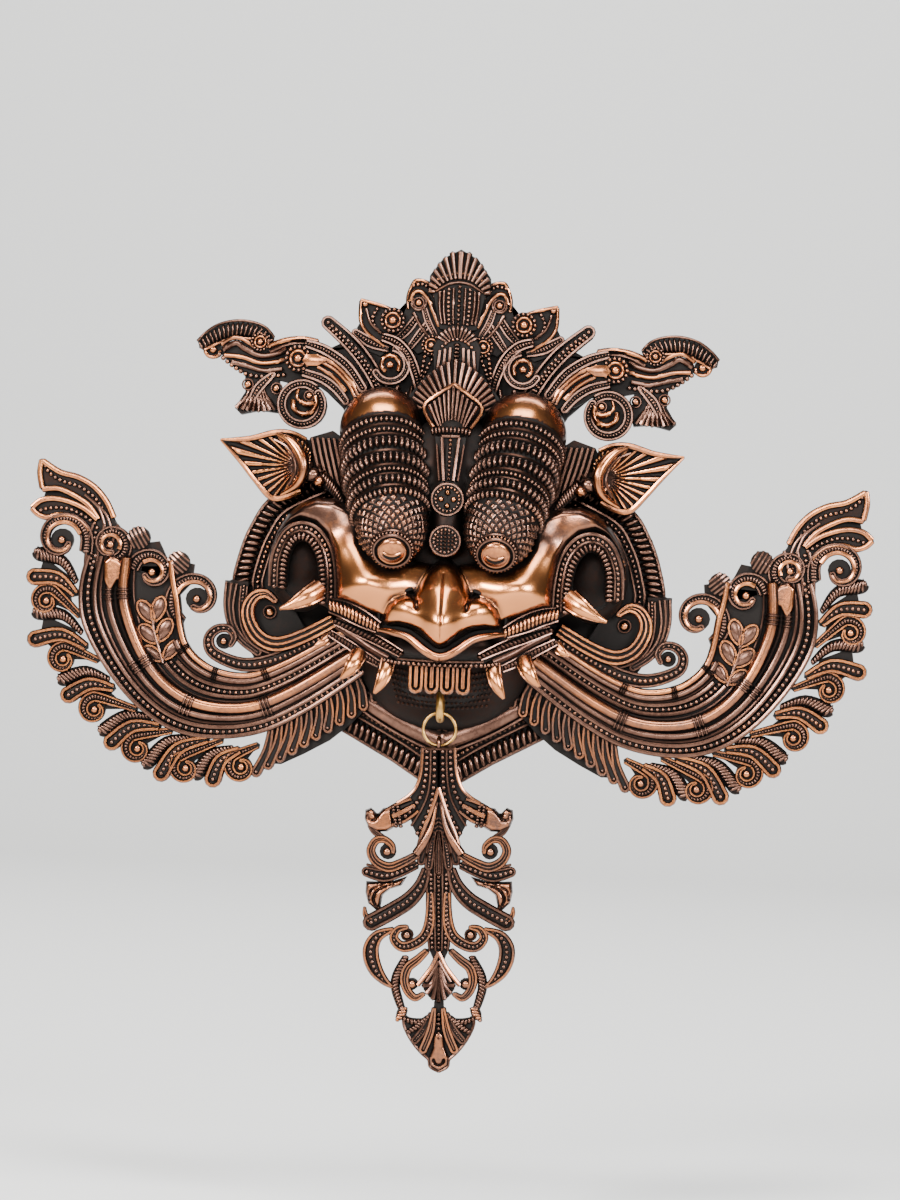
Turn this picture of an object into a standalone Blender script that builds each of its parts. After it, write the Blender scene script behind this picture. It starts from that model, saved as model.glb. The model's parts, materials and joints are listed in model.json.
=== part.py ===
"""Kirtimukha mask: a cast wall ornament with a horned-eye monster head, leaf wings and a hung drop.

The sizes are in millimetres and MM turns them into metres. The wall is the plane y = 0, the face
looks along -y, and x = 0 is the middle of the head. The right half is modelled and mirrored.
The free carving is drawn at the size of the real casting and scaled by that casting's own size.
"""

import math

import bmesh
import bpy
from mathutils import Matrix, Vector

MM = 0.001

# Sizes of the whole castings
wing_reach = 234.2
wing_back = 9.4
wing_depth = 16.0
plate_half_width = 119.4
plate_drop = 106.5
plate_thickness = 8.0
plate_rim_width = 11.0
plate_rim_rise = 1.0
crown_height = 193.5
crown_depth = 26.0
head_half_width = 66.0
head_depth = 92.0
ear_reach = 126.8

# Sizes of the mouth
tooth_count = 4
tooth_width = 7.0
tooth_pitch = 8.4
tooth_top = -33.0
tooth_tip = -50.5
tooth_front = 74.0

# Sizes of the hook, the ring and the drop
hook_wire = 4.4
hook_bend = 6.6
hook_seat = 14.0
hook_front_leg = 9.0
ring_diameter = 19.5
ring_wire = 1.8
ring_plane = 48.0
ring_centre_z = -70.1
lug_wire = 2.4
lug_hole = 3.6
drop_length = 179.0
drop_half_width = 41.0
drop_thickness = 7.0
drop_swing = math.radians(2.3)

# Clearances
joint_gap = 0.4
link_gap = 0.35

# Fineness of the carved surfaces
grain = 1.5
wing_share = 0.027
mask_share = 0.0165
drop_share = 0.043

# The drawing's own sizes, which the real sizes are compared with
DRAWN_WING_REACH = 234.2
DRAWN_CROWN_HEIGHT = 193.5
DRAWN_HEAD_HALF_WIDTH = 66.0
DRAWN_HEAD_DEPTH = 92.0
DRAWN_EAR_REACH = 126.8
DRAWN_PLATE_HALF_WIDTH = 119.4
DRAWN_PLATE_DROP = 106.5
DRAWN_DROP_LENGTH = 179.0
DRAWN_DROP_HALF_WIDTH = 41.0
DRAWN_CROWN_DEPTH = 26.0
DRAWN_WING_DEPTH = 16.0


def clear_scene():
    for thing in list(bpy.data.objects):
        bpy.data.objects.remove(thing)


def metal(name, colour, roughness):
    made = bpy.data.materials.new(name)
    made.use_nodes = True
    shader = made.node_tree.nodes["Principled BSDF"]
    shader.inputs["Base Color"].default_value = colour
    shader.inputs["Metallic"].default_value = 1.0
    shader.inputs["Roughness"].default_value = roughness
    return made


def link(name, mesh):
    made = bpy.data.objects.new(name, mesh)
    bpy.context.scene.collection.objects.link(made)
    return made


def stems(rows, flatten=1.0, spans=4, bevel=2):
    """A mesh of tapered stems. Each row is a list of (x, y, z, half width), and flatten scales its depth."""
    curve = bpy.data.curves.new("stems", "CURVE")
    curve.dimensions = "3D"
    curve.resolution_u = spans
    curve.bevel_depth = 1.0
    curve.bevel_resolution = bevel
    curve.use_fill_caps = True
    for row in rows:
        spline = curve.splines.new("BEZIER")
        spline.bezier_points.add(len(row) - 1)
        for point, (x, y, z, radius) in zip(spline.bezier_points, row):
            point.co = (x, y / flatten, z)
            point.radius = radius
            point.handle_left_type = "AUTO"
            point.handle_right_type = "AUTO"
    holder = link("stems", curve)
    holder.scale = (1.0, flatten, 1.0)
    bpy.context.view_layer.update()
    seen = holder.evaluated_get(bpy.context.evaluated_depsgraph_get())
    mesh = bpy.data.meshes.new_from_object(seen)
    mesh.transform(holder.matrix_world)
    bpy.data.objects.remove(holder)
    return mesh


def blobs(rows):
    """A mesh of ellipsoids. Each row is (x, y, z, rx, ry, rz)."""
    builder = bmesh.new()
    for x, y, z, rx, ry, rz in rows:
        place = Matrix.Translation((x, y, z)) @ Matrix.Diagonal((rx, ry, rz, 1.0))
        bmesh.ops.create_uvsphere(builder, u_segments=24, v_segments=14, radius=1.0, matrix=place)
    mesh = bpy.data.meshes.new("blobs")
    builder.to_mesh(mesh)
    builder.free()
    return mesh


def slab(outline, back, front):
    """A mesh of a flat outline in (x, z), extruded from y = -back to y = -front."""
    builder = bmesh.new()
    corners = [builder.verts.new((x, -back, z)) for x, z in outline]
    face = builder.faces.new(corners)
    pulled = bmesh.ops.extrude_face_region(builder, geom=[face])
    moved = [item for item in pulled["geom"] if isinstance(item, bmesh.types.BMVert)]
    bmesh.ops.translate(builder, vec=(0.0, back - front, 0.0), verts=moved)
    bmesh.ops.recalc_face_normals(builder, faces=builder.faces)
    mesh = bpy.data.meshes.new("slab")
    builder.to_mesh(mesh)
    builder.free()
    return mesh


def smooth_line(points, steps=6):
    """Points on a smooth line through the given (x, z) points."""
    line = []
    last = len(points) - 1
    for index in range(last):
        before = points[max(index - 1, 0)]
        start = points[index]
        end = points[index + 1]
        after = points[min(index + 2, last)]
        for step in range(steps):
            t = step / steps
            line.append(tuple(
                0.5 * (2.0 * b + (c - a) * t + (2.0 * a - 5.0 * b + 4.0 * c - d) * t * t
                       + (3.0 * b - a - 3.0 * c + d) * t * t * t)
                for a, b, c, d in zip(before, start, end, after)))
    line.append(tuple(points[-1]))
    return line


def flat_row(points, y, widths):
    """A stem's row from (x, z) points at one depth, with a half width at each."""
    return [(x, -y, z, width) for (x, z), width in zip(points, widths)]


def volute(x, z, r_start, a_start, r_end, a_end, y, w_start, w_end, count=9):
    """A stem's row that winds about (x, z) from one radius and angle in degrees to another."""
    row = []
    for index in range(count):
        t = index / (count - 1)
        angle = math.radians(a_start + (a_end - a_start) * t)
        radius = r_start + (r_end - r_start) * t
        width = w_start + (w_end - w_start) * t
        row.append((x + radius * math.cos(angle), -y, z + radius * math.sin(angle), width))
    return row


def bowed(start, end, bow, y, w_start, w_middle, w_end):
    """A leaf's row from start to end, bowed sideways by a share of its length."""
    run_x = end[0] - start[0]
    run_z = end[1] - start[1]
    middle = ((start[0] + end[0]) / 2 - run_z * bow, (start[1] + end[1]) / 2 + run_x * bow)
    return flat_row([start, middle, end], y, [w_start, w_middle, w_end])


def stretch(mesh, about, factors):
    """The mesh scaled about a point by one factor for each axis."""
    shift = Matrix.Translation(about)
    mesh.transform(shift @ Matrix.Diagonal((*factors, 1.0)) @ shift.inverted())
    return mesh


def mirrored(mesh):
    other = mesh.copy()
    other.transform(Matrix.Diagonal((-1.0, 1.0, 1.0, 1.0)))
    other.flip_normals()
    return other


def join(meshes):
    builder = bmesh.new()
    for mesh in meshes:
        builder.from_mesh(mesh)
    joined = bpy.data.meshes.new("joined")
    builder.to_mesh(joined)
    builder.free()
    return joined


def main_shell(mesh):
    """The mesh without the small closed shells that a joined surface can leave inside itself."""
    builder = bmesh.new()
    builder.from_mesh(mesh)
    unseen = set(builder.verts)
    shells = []
    while unseen:
        shell = [unseen.pop()]
        for vert in shell:
            for edge in vert.link_edges:
                other = edge.other_vert(vert)
                if other in unseen:
                    unseen.remove(other)
                    shell.append(other)
        shells.append(shell)
    shells.sort(key=len)
    for shell in shells[:-1]:
        bmesh.ops.delete(builder, geom=shell, context="VERTS")
    builder.to_mesh(mesh)
    builder.free()
    return mesh


def cast(meshes, share):
    """One closed surface round all the given shapes, with only a share of its faces kept."""
    holder = link("cast", join(meshes))
    skin = holder.modifiers.new("skin", "REMESH")
    skin.mode = "VOXEL"
    skin.voxel_size = grain
    skin.adaptivity = 0.0
    thin = holder.modifiers.new("thin", "DECIMATE")
    thin.ratio = share
    thin.use_collapse_triangulate = True
    bpy.context.view_layer.update()
    seen = holder.evaluated_get(bpy.context.evaluated_depsgraph_get())
    mesh = bpy.data.meshes.new_from_object(seen)
    bpy.data.objects.remove(holder)
    return main_shell(mesh)


def cut(piece, cutters):
    """The piece with each cutter's volume taken out by an exact Boolean."""
    for mesh in cutters:
        cutter = link("cutter", mesh)
        cutter.hide_render = True
        cutter.display_type = "WIRE"
        step = piece.modifiers.new("cut", "BOOLEAN")
        step.operation = "DIFFERENCE"
        step.solver = "EXACT"
        step.object = cutter
        bpy.context.view_layer.update()
        seen = piece.evaluated_get(bpy.context.evaluated_depsgraph_get())
        mesh_after = bpy.data.meshes.new_from_object(seen)
        piece.modifiers.clear()
        piece.data = mesh_after
        bpy.data.objects.remove(cutter)


def finish(mesh, name, material, cutters=()):
    piece = link(name, mesh)
    cut(piece, cutters)
    piece.data.transform(Matrix.Diagonal((MM, MM, MM, 1.0)))
    piece.data.materials.clear()
    piece.data.materials.append(material)
    return piece


# The joint between head and wing, which both castings are cut to

joint_line = [(140.0, 9.0), (101.0, 9.0), (95.0, 4.0), (88.0, -7.0), (70.0, -12.0),
              (62.0, -22.0), (53.0, -36.0), (43.0, -46.0), (36.0, -58.0), (30.0, -76.0)]


def wing_side(grow):
    """The joint line moved out by a gap and closed far outside the wing."""
    moved = [(x + grow * 0.8, z - grow * 0.8) for x, z in joint_line]
    moved[0] = (joint_line[0][0], joint_line[0][1] - grow)
    return moved


def wing_pocket():
    """What the head gives up so that the wing can lie against it."""
    outline = joint_line + [(30.0, -150.0), (300.0, -150.0), (300.0, 9.0)]
    front = wing_back + wing_depth + joint_gap
    return slab(outline, plate_thickness + plate_rim_rise, front)


def head_keepout():
    """What the wing gives up to the head."""
    outline = wing_side(joint_gap) + [(30.0 + joint_gap, -150.0), (-60.0, -150.0), (-60.0, 60.0),
                                      (100.0, 60.0), (104.0, 30.0)]
    return slab(outline, 0.0, wing_back + 2.0 * wing_depth)


def back_cutter(y):
    """Everything behind the plane y = -y."""
    reach = 2.0 * (wing_reach + drop_length)
    outline = [(-reach, -reach), (reach, -reach), (reach, reach), (-reach, reach)]
    return slab(outline, -reach, y)


# Wing

band_line = [(175.0, 16.0), (174.5, -10.0), (161.0, -41.0), (139.0, -59.0), (110.0, -62.0),
             (84.0, -52.0), (50.0, -30.0)]
band_half_widths = [24.0, 28.0, 22.5, 20.5, 17.0, 15.0, 13.0]

# Outer leaves: stem and tip of the rope leaf, stem and tip of the beaded leaf, stem and boss of the curl
fringe = [
    ((205, 1), (226, 17), (205, -5), (229.8, 3.7), (202, -17), (221, -9.3)),
    ((201, -26), (225.4, -16), (198, -34), (226.4, -30.6), (191, -41), (210.4, -41)),
    ((185, -51), (210, -52), (182, -56), (206.9, -60.6), (169, -67), (192, -68)),
    ((161, -71), (186.4, -79), (156, -76), (182, -86), (149, -78), (167.4, -88.6)),
    ((136, -81), (162, -96.5), (129, -82), (154, -102), (121, -82), (140.4, -98.3)),
    ((115, -86), (134, -101.5), (111, -87), (125, -104.5), (101, -84), (109.8, -96.3)),
]
fan_leaves = 10
fan_roots = ((93.0, -78.0), (44.0, -44.0))
fan_tips = ((101.5, -101.0), (37.0, -58.0))

# Scrolls: centre, start radius and angle, end radius and angle
wing_volutes = [
    (213.7, 24.6, 16.5, 203, 5.0, -150),
    (186.6, 23.1, 9.9, 249, 5.0, -100),
    (163.2, 8.8, 11.5, 10, 4.0, 330),
    (137.9, -5.0, 16.5, -56, 5.0, 290),
]


def band_point(share, t):
    """A point on the wing's band, at a share across it and a share t along it."""
    line = smooth_line(band_line, 4)
    halves = smooth_line([(half, 0.0) for half in band_half_widths], 4)
    place = t * (len(line) - 1)
    index = min(int(place), len(line) - 2)
    rest = place - index
    x = line[index][0] * (1.0 - rest) + line[index + 1][0] * rest
    z = line[index][1] * (1.0 - rest) + line[index + 1][1] * rest
    half = halves[index][0] * (1.0 - rest) + halves[index + 1][0] * rest
    along = Vector((line[index + 1][0] - line[index][0], line[index + 1][1] - line[index][1])).normalized()
    outward = Vector((-along.y, along.x))
    return x + outward.x * half * share, z + outward.y * half * share


def band_track(share, y, width, count=9):
    """A rib along the band at a share across it, from -1 at the inner edge to 1 at the outer."""
    line = [band_point(share, index / (count - 1)) for index in range(count)]
    return [(x, -y, z, width) for x, z in line]


def wing_shapes():
    middle = wing_back + 4.0
    high = wing_back + 9.5
    edge = [band_point(1.0, index / 20) for index in range(21)]
    inner = [band_point(-1.0, index / 20) for index in range(20, -1, -1)]
    ground = slab(edge + inner, wing_back - 4.0, wing_back + 6.0)
    ribs = stems([
        band_track(0.86, high - 2.0, 3.4),
        band_track(0.38, high, 3.2),
        band_track(0.14, high + 1.5, 3.8),
        band_track(-0.40, high - 2.0, 3.0),
        band_track(-0.92, high - 1.0, 3.4),
    ], 1.0, 3, 1)
    lobes = stems([
        flat_row([(187, 27), (193, 42), (204, 51), (216, 57.5), (227, 65.5)], middle,
                 [6.0, 6.5, 5.5, 6.0, 2.6]),
        flat_row([(188, 27), (200, 40), (212, 44.5), (222, 43.0), (233.2, 41.5)], middle,
                 [6.0, 7.0, 6.5, 7.0, 2.0]),
        flat_row([(217, 58), (226.0, 60), (225.2, 54)], middle, [6.0, 3.4, 2.4]),
        flat_row([(212, 56), (220, 62), (226.6, 68.4)], middle, [5.0, 4.0, 2.0]),
        flat_row([(186, 14), (187, 27), (190, 36)], middle, [14.0, 9.0, 6.0]),
    ], 0.9)
    scrolls = [volute(x, z, r0, a0, r1, a1, middle + 1.5, 3.4, 2.4)
               for x, z, r0, a0, r1, a1 in wing_volutes]
    scrolls.append(flat_row([(66, -22), (91, -36), (111, -40), (127, -34), (130, -27), (126, -21),
                             (119, -21), (117, -26)], middle + 2.0, [5, 5, 4.5, 3.6, 3.2, 3, 2.8, 2.4]))
    scrolls.append(flat_row([(66, -16), (90, -27), (105, -21), (109, -10), (105, -2), (98, -1)],
                            middle + 3.0, [5, 5, 4.2, 3.8, 3.4, 3.0]))
    scrolls.append(flat_row([(116, 4), (121, -8), (118, -20), (108, -29), (92, -34)], middle,
                            [7.5, 6.0, 6.0, 6.0, 7.0]))
    curls = []
    leaves = []
    for a_stem, a_tip, b_stem, b_tip, c_stem, boss in fringe:
        leaves.append(bowed(a_stem, a_tip, -0.12, middle - 1.0, 4.0, 3.4, 2.2))
        leaves.append(bowed(b_stem, b_tip, -0.12, middle - 0.5, 4.0, 3.8, 2.4))
        toward = math.degrees(math.atan2(c_stem[1] - boss[1], c_stem[0] - boss[0]))
        curl = volute(boss[0], boss[1], 7.0, toward + 45.0, 4.0, toward + 280.0, middle, 3.0, 2.4, 7)
        curls.append([(c_stem[0], -middle, c_stem[1], 4.6)] + curl)
    for index in range(fan_leaves):
        t = index / (fan_leaves - 1)
        root = tuple(a + (b - a) * t for a, b in zip(*fan_roots))
        tip = tuple(a + (b - a) * t for a, b in zip(*fan_tips))
        inside = (root[0], root[1] + 6.0)
        leaves.append(bowed(inside, tip, -0.08, middle - 1.5, 3.8, 4.0, 2.8))
    bosses = [(x, -middle, z, 3.2, 6.0, 3.2) for x, z, *rest in wing_volutes]
    bosses += [(row[5][0], -middle, row[5][1], 2.6, 5.0, 2.6) for row in fringe]
    fill = [(168, -middle, 26, 9.0, 5.0, 8.5), (145, -middle, 13, 8.0, 5.0, 8.5),
            (175, -middle, 15, 10.0, 5.0, 8.0), (152, -middle, 3, 7.0, 5.0, 9.0),
            (126, -middle, -6, 6.0, 5.0, 6.0), (133, -middle, -22, 8.0, 5.0, 8.0),
            (147, -middle, -24, 8.0, 5.0, 9.0), (104, -middle, -90, 6.0, 4.0, 6.0),
            (121, -middle, -36, 8.0, 5.0, 7.0), (98, -middle, -35, 9.0, 5.0, 6.0)]
    sprig = [bowed((153, -36), (158, -12), 0.1, middle + 3.0, 2.2, 2.2, 2.0),
             bowed((158, -28), (169, -20), 0.1, middle + 3.0, 2.4, 3.4, 1.4),
             bowed((156, -20), (147, -13), -0.1, middle + 3.0, 2.4, 3.4, 1.4),
             bowed((159, -16), (169, -7), 0.1, middle + 3.0, 2.4, 3.4, 1.4),
             bowed((158, -12), (152, -2), -0.1, middle + 3.0, 2.4, 3.4, 1.4)]
    return [ground, ribs, lobes, stems(scrolls, 1.0, 3, 1), stems(leaves + sprig, 1.0, 3, 1),
            stems(curls, 1.0, 3, 1), blobs(bosses + fill)]


def wing():
    grow = wing_reach / DRAWN_WING_REACH
    deep = wing_depth / DRAWN_WING_DEPTH
    shapes = [stretch(mesh, (50.0, -wing_back, 0.0), (grow, deep, grow)) for mesh in wing_shapes()]
    return cast(shapes, wing_share)


# Back plate with its raised rim

plate_line = [(0.0, 78.0), (60.0, 74.0), (97.0, 56.0), (111.0, 37.0), (118.0, 16.0), (119.4, 2.0),
              (114.0, -22.0), (98.0, -46.0), (74.0, -65.0), (50.0, -78.0), (28.0, -90.0),
              (13.0, -99.5), (0.0, -106.5)]


def plate_outline(inset):
    """The plate's outline on both sides, moved in by an inset."""
    wide = (plate_half_width - inset) / DRAWN_PLATE_HALF_WIDTH
    tall = (plate_drop - inset) / DRAWN_PLATE_DROP
    return both_sides([(x * wide, z * tall) for x, z in plate_line])


def plate_shapes():
    rim_front = plate_thickness + plate_rim_rise
    shapes = [slab(plate_outline(0.0), -4.0, plate_thickness - 1.0)]
    rim = [(x, -plate_thickness + 2.0, z, plate_rim_width / 2.0)
           for x, z in plate_outline(plate_rim_width / 2.0)]
    rim.append(rim[0])
    shapes.append(stems([rim], 2.0 * (rim_front - plate_thickness + 2.0) / plate_rim_width, 2, 1))
    return shapes


# Head: horned eyes, nose, cheeks, mouth and ears

def head_shapes():
    """The right half of the head, with what lies on the middle plane."""
    core = [
        (0, -18, 38, 62, 30, 62), (0, -34, 40, 46, 28, 66), (0, -30, 0, 62, 40, 42),
        (0, -48, -6, 44, 24, 26), (44, -52, 4, 22, 20, 17), (28, -62, -4, 20, 16, 13),
        (76, -36, 36, 19, 18, 15), (80, -22, 14, 19, 14, 28), (0, -16, -40, 52, 16, 44),
        (0, -52, -22, 34, 18, 12), (62, -44, -2, 12, 12, 12), (40, -60, 8, 17, 17, 13),
    ]
    horn = [(41, -14, 96, 18.0), (41, -26, 90, 23.0), (40, -42, 76, 25.5), (37, -56, 58, 25.0),
            (33, -66, 42, 22.0), (29, -76, 28, 16.5), (28, -86, 19, 9.0)]
    rings = []
    for t, swell in ((0.22, 1.4), (0.36, 2.2), (0.50, 2.2), (0.62, 1.6), (0.72, 2.0)):
        place = t * (len(horn) - 1)
        index = int(place)
        rest = place - index
        x, y, z, r = [a + (b - a) * rest for a, b in zip(horn[index], horn[index + 1])]
        turn = math.radians(-62.0 + 26.0 * t)
        ring = []
        for step in range(9):
            angle = math.pi * (step / 8.0 * 1.2 - 0.1)
            across = math.cos(angle) * (r + 0.5)
            out = math.sin(angle) * (r + 0.5)
            ring.append((x + across, y - out * math.cos(turn + math.pi / 2.4), z + out * 0.62, swell))
        rings.append(ring)
    pupil = [(28.2, -90.0, 23.0, 7.5, 6.0, 6.0)]
    nose = [(0, -72, 6, 11, 15, 18), (0, -77, -12, 17, 15, 14), (21, -68, -9, 14, 15, 10),
            (0, -66, 20, 7, 14, 12)]
    lips = [
        [(0, -76, -27, 4.0), (14, -74, -24, 4.4), (30, -68, -18, 4.4), (46, -60, -11, 4.0),
         (60, -50, -6, 3.4)],
        [(0, -70, -33, 3.6), (20, -68, -31, 4.0), (38, -62, -24, 4.0), (56, -52, -15, 3.6)],
        [(30, -62, -36, 3.0), (44, -56, -30, 3.2), (60, -48, -21, 3.0)],
    ]
    loop = [(62, -50, -4, 3.8), (64, -52, 12, 3.8), (70, -52, 27, 3.8), (80, -50, 34, 3.8),
            (89, -46, 29, 3.6), (94, -42, 16, 3.4), (93, -38, 2, 3.0)]
    fangs = [
        [(48, -60, -31, 4.4), (51, -63, -38, 3.4), (54, -66, -44.5, 1.4)],
        [(31, -66, -35, 4.4), (33, -70, -44, 3.6), (36.5, -73, -52.5, 1.4)],
        [(62, -50, -23, 3.4), (67, -53, -26, 1.8)],
        [(70, -54, 3, 6.0), (78, -58, -3, 4.4), (88, -61, -8, 1.4)],
    ]
    column = [(0, -44, 108, 7.0), (0, -52, 88, 5.5), (0, -58, 66, 5.0), (0, -64, 44, 6.0),
              (0, -68, 24, 7.0)]
    plates = [(0, -60, 54, 9.0, 6.0, 9.5), (0, -69, 31.5, 8.0, 6.0, 8.0), (0, -38, 106, 11, 9, 10)]
    ear = [(74, -26, 68, 10.0), (84, -29, 70, 15.0), (93, -32, 69.5, 18.0), (101, -34, 71, 14.0),
           (108, -35, 74, 10.5), (117, -36, 78.5, 5.5), (126.0, -37, 82.2, 1.4)]
    knob = [(73, -36, 62, 7, 8, 6), (70, -26, 66, 14, 16, 12)]
    teeth = []
    for index in range(tooth_count // 2):
        x = tooth_pitch * (index + 0.5)
        half = tooth_width / 2.0
        teeth.append([(x, 6.0 - tooth_front, tooth_top, half),
                      (x, half - tooth_front, tooth_tip + half * 2.0, half),
                      (x, half - tooth_front, tooth_tip + half * 0.4, half * 0.9)])
    wide = head_half_width / DRAWN_HEAD_HALF_WIDTH
    deep = head_depth / DRAWN_HEAD_DEPTH
    shapes = [blobs(core + pupil + nose + plates + knob), stems([horn], 1.0, 4, 3),
              stems(rings + lips + [loop, column] + fangs, 1.0, 4, 1)]
    shapes = [stretch(mesh, (0.0, 0.0, 0.0), (wide, deep, wide)) for mesh in shapes]
    grown = ear_reach / DRAWN_EAR_REACH
    shapes.append(stretch(stems([ear], 0.45, 4, 2), (74.0, 0.0, 68.0), (grown, 1.0, grown)))
    shapes.append(stems(teeth, 0.9, 2, 1))
    return shapes


# Crown: a ground of one outline with scrolls, leaves and a fan on it

crown_line = [(0.0, 188.0), (8.0, 183.0), (12.5, 174.0), (24.0, 170.0), (27.0, 157.0), (50.0, 156.0),
              (54.0, 144.0), (50.0, 130.0), (64.0, 141.0), (76.0, 134.0), (98.0, 134.0),
              (112.0, 120.0), (112.0, 106.0), (96.0, 100.0), (80.0, 93.0), (60.0, 94.0), (0.0, 94.0)]


top_fan = [(0.0, 192.5), (9.0, 183.0), (14.5, 177.0), (13.0, 166.0), (10.0, 148.0), (0.0, 146.0)]
low_fan = [(0.0, 150.0), (9.0, 145.0), (13.0, 138.0), (12.0, 124.0), (0.0, 120.0)]
brow_fan = [(0.0, 131.5), (15.0, 123.0), (26.0, 109.0), (14.0, 98.0), (0.0, 94.0)]


def both_sides(line):
    """An outline drawn down its right half, closed by its mirror image."""
    return line + [(-x, z) for x, z in line[-2:0:-1]]


def crown_shapes():
    low = 14.0
    high = 19.0
    rows = [
        flat_row([(141.5, 136.5), (137, 142), (128, 145.5), (118, 145.5), (110, 141), (105, 135)], low,
                 [1.6, 3.6, 4.2, 4.2, 4.0, 4.0]),
        flat_row([(131, 131.5), (121, 128), (110, 126), (98, 130), (84, 134)], low,
                 [2.0, 5.0, 7.0, 7.0, 6.0]),
        flat_row([(112, 122), (112, 111), (113, 104), (119.5, 99.5)], low, [5.0, 6.0, 6.0, 2.4]),
        flat_row([(84, 134), (70, 128), (58, 117), (50, 106)], high, [5.0, 6.5, 7.0, 7.0]),
        volute(84, 104, 11.0, 110, 4.0, 410, high - 1.0, 3.4, 2.6, 10),
        flat_row([(44, 116), (50, 130), (60, 141), (72, 150.5)], low + 1.0, [5.0, 5.0, 4.6, 1.6]),
        flat_row([(52, 160), (53, 150), (48, 141), (38, 134)], low + 1.0, [3.0, 4.0, 5.5, 6.0]),
        flat_row([(52, 161), (43, 157), (36, 152.5)], low + 2.0, [2.6, 3.6, 5.0]),
        volute(35.5, 127, 8.5, 60, 3.5, -240, high - 1.0, 3.0, 2.4, 8),
        flat_row([(20, 172.5), (26, 167), (25, 158), (17, 149), (10, 140)], low + 2.0,
                 [2.6, 3.6, 4.4, 5.0, 5.0]),
        flat_row([(0, 192.5), (0, 184), (0, 172), (0, 150), (0, 130)], high - 2.0,
                 [1.4, 6.5, 8.0, 7.0, 8.0]),
        flat_row([(0, 160), (8, 172), (14, 177.5)], high - 3.0, [4.0, 3.6, 1.8]),
    ]
    dots = [(134.5, -low, 132.5, 3.6, 6, 3.6), (108.5, -low, 138, 6, 8, 6), (87, -high, 129, 6.5, 7, 6.5),
            (114.5, -low, 114, 4, 8, 4), (99, -low, 112, 10, 8, 10), (80, -high, 108, 4, 7, 4),
            (36, -high, 152.5, 6, 5, 6), (52, -low, 160.5, 3.4, 6, 3.4), (22, -high, 163, 5, 5, 5),
            (35.5, -high, 127, 3.5, 6, 3.5), (60, -16, 106, 22, 12, 14)]
    tall = crown_height / DRAWN_CROWN_HEIGHT
    deep = crown_depth / DRAWN_CROWN_DEPTH
    shapes = [slab(both_sides(crown_line), -4.0, 12.0), slab(both_sides(top_fan), 4.0, high),
              slab(both_sides(low_fan), 4.0, high + 4.0), slab(both_sides(brow_fan), 4.0, high + 12.0),
              stems(rows, 1.0, 4, 1), blobs(dots)]
    return [stretch(mesh, (0.0, 0.0, 0.0), (tall, deep, tall)) for mesh in shapes]


def mask():
    half = head_shapes() + crown_shapes()
    both = half + [mirrored(mesh) for mesh in half]
    return cast(both + plate_shapes(), mask_share)


# Hook, ring and drop

def round_link(x, y, z, radius, wire, across, steps=24, sides=8):
    """A closed wire circle, seen from the front where across is 'x' and from the side where it is 'y'."""
    builder = bmesh.new()
    start = bmesh.ops.create_circle(builder, segments=sides, radius=wire / 2.0, cap_ends=False)
    turned = Matrix.Rotation(math.pi / 2.0, 4, "X")
    bmesh.ops.transform(builder, matrix=Matrix.Translation((radius, 0.0, 0.0)) @ turned, verts=start["verts"])
    bmesh.ops.spin(builder, geom=builder.verts[:] + builder.edges[:], cent=(0, 0, 0), axis=(0, 0, 1),
                   angle=2.0 * math.pi, steps=steps, use_duplicate=False)
    bmesh.ops.remove_doubles(builder, verts=builder.verts, dist=0.0001)
    bmesh.ops.recalc_face_normals(builder, faces=builder.faces)
    tip = Matrix.Rotation(math.pi / 2.0, 4, "X") if across == "x" else Matrix.Rotation(math.pi / 2.0, 4, "Y")
    bmesh.ops.transform(builder, matrix=Matrix.Translation((x, y, z)) @ tip, verts=builder.verts)
    mesh = bpy.data.meshes.new("link")
    builder.to_mesh(mesh)
    builder.free()
    return mesh


ring_radius = (ring_diameter - ring_wire) / 2.0
hook_low = ring_centre_z + ring_radius - ring_wire / 2.0 - link_gap - hook_wire / 2.0
hook_root = hook_low + 18.0


def hook_line():
    """The hook's middle line: out of the jaw, down through the ring and back up."""
    line = [(0.0, -ring_plane + hook_bend, hook_root + hook_seat),
            (0.0, -ring_plane + hook_bend, hook_low + hook_bend)]
    for step in range(1, 9):
        angle = math.pi * step / 8.0
        line.append((0.0, -ring_plane + hook_bend * math.cos(angle),
                     hook_low + hook_bend - hook_bend * math.sin(angle)))
    line.append((0.0, -ring_plane - hook_bend, hook_low + hook_bend + hook_front_leg))
    return line


def wire(points, radius, sides):
    builder = bmesh.new()
    rings = []
    for index, point in enumerate(points):
        before = Vector(points[max(index - 1, 0)])
        after = Vector(points[min(index + 1, len(points) - 1)])
        along = (after - before).normalized()
        side = Vector((1.0, 0.0, 0.0))
        up = along.cross(side)
        rings.append([builder.verts.new(Vector(point) + side * radius * math.cos(2 * math.pi * step / sides)
                                        + up * radius * math.sin(2 * math.pi * step / sides))
                      for step in range(sides)])
    for one, two in zip(rings, rings[1:]):
        for step in range(sides):
            after = (step + 1) % sides
            builder.faces.new((one[step], one[after], two[after], two[step]))
    builder.faces.new(rings[0][::-1])
    builder.faces.new(rings[-1])
    bmesh.ops.recalc_face_normals(builder, faces=builder.faces)
    mesh = bpy.data.meshes.new("wire")
    builder.to_mesh(mesh)
    builder.free()
    return mesh


drop_top = ring_centre_z - ring_radius - 1.2


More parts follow.
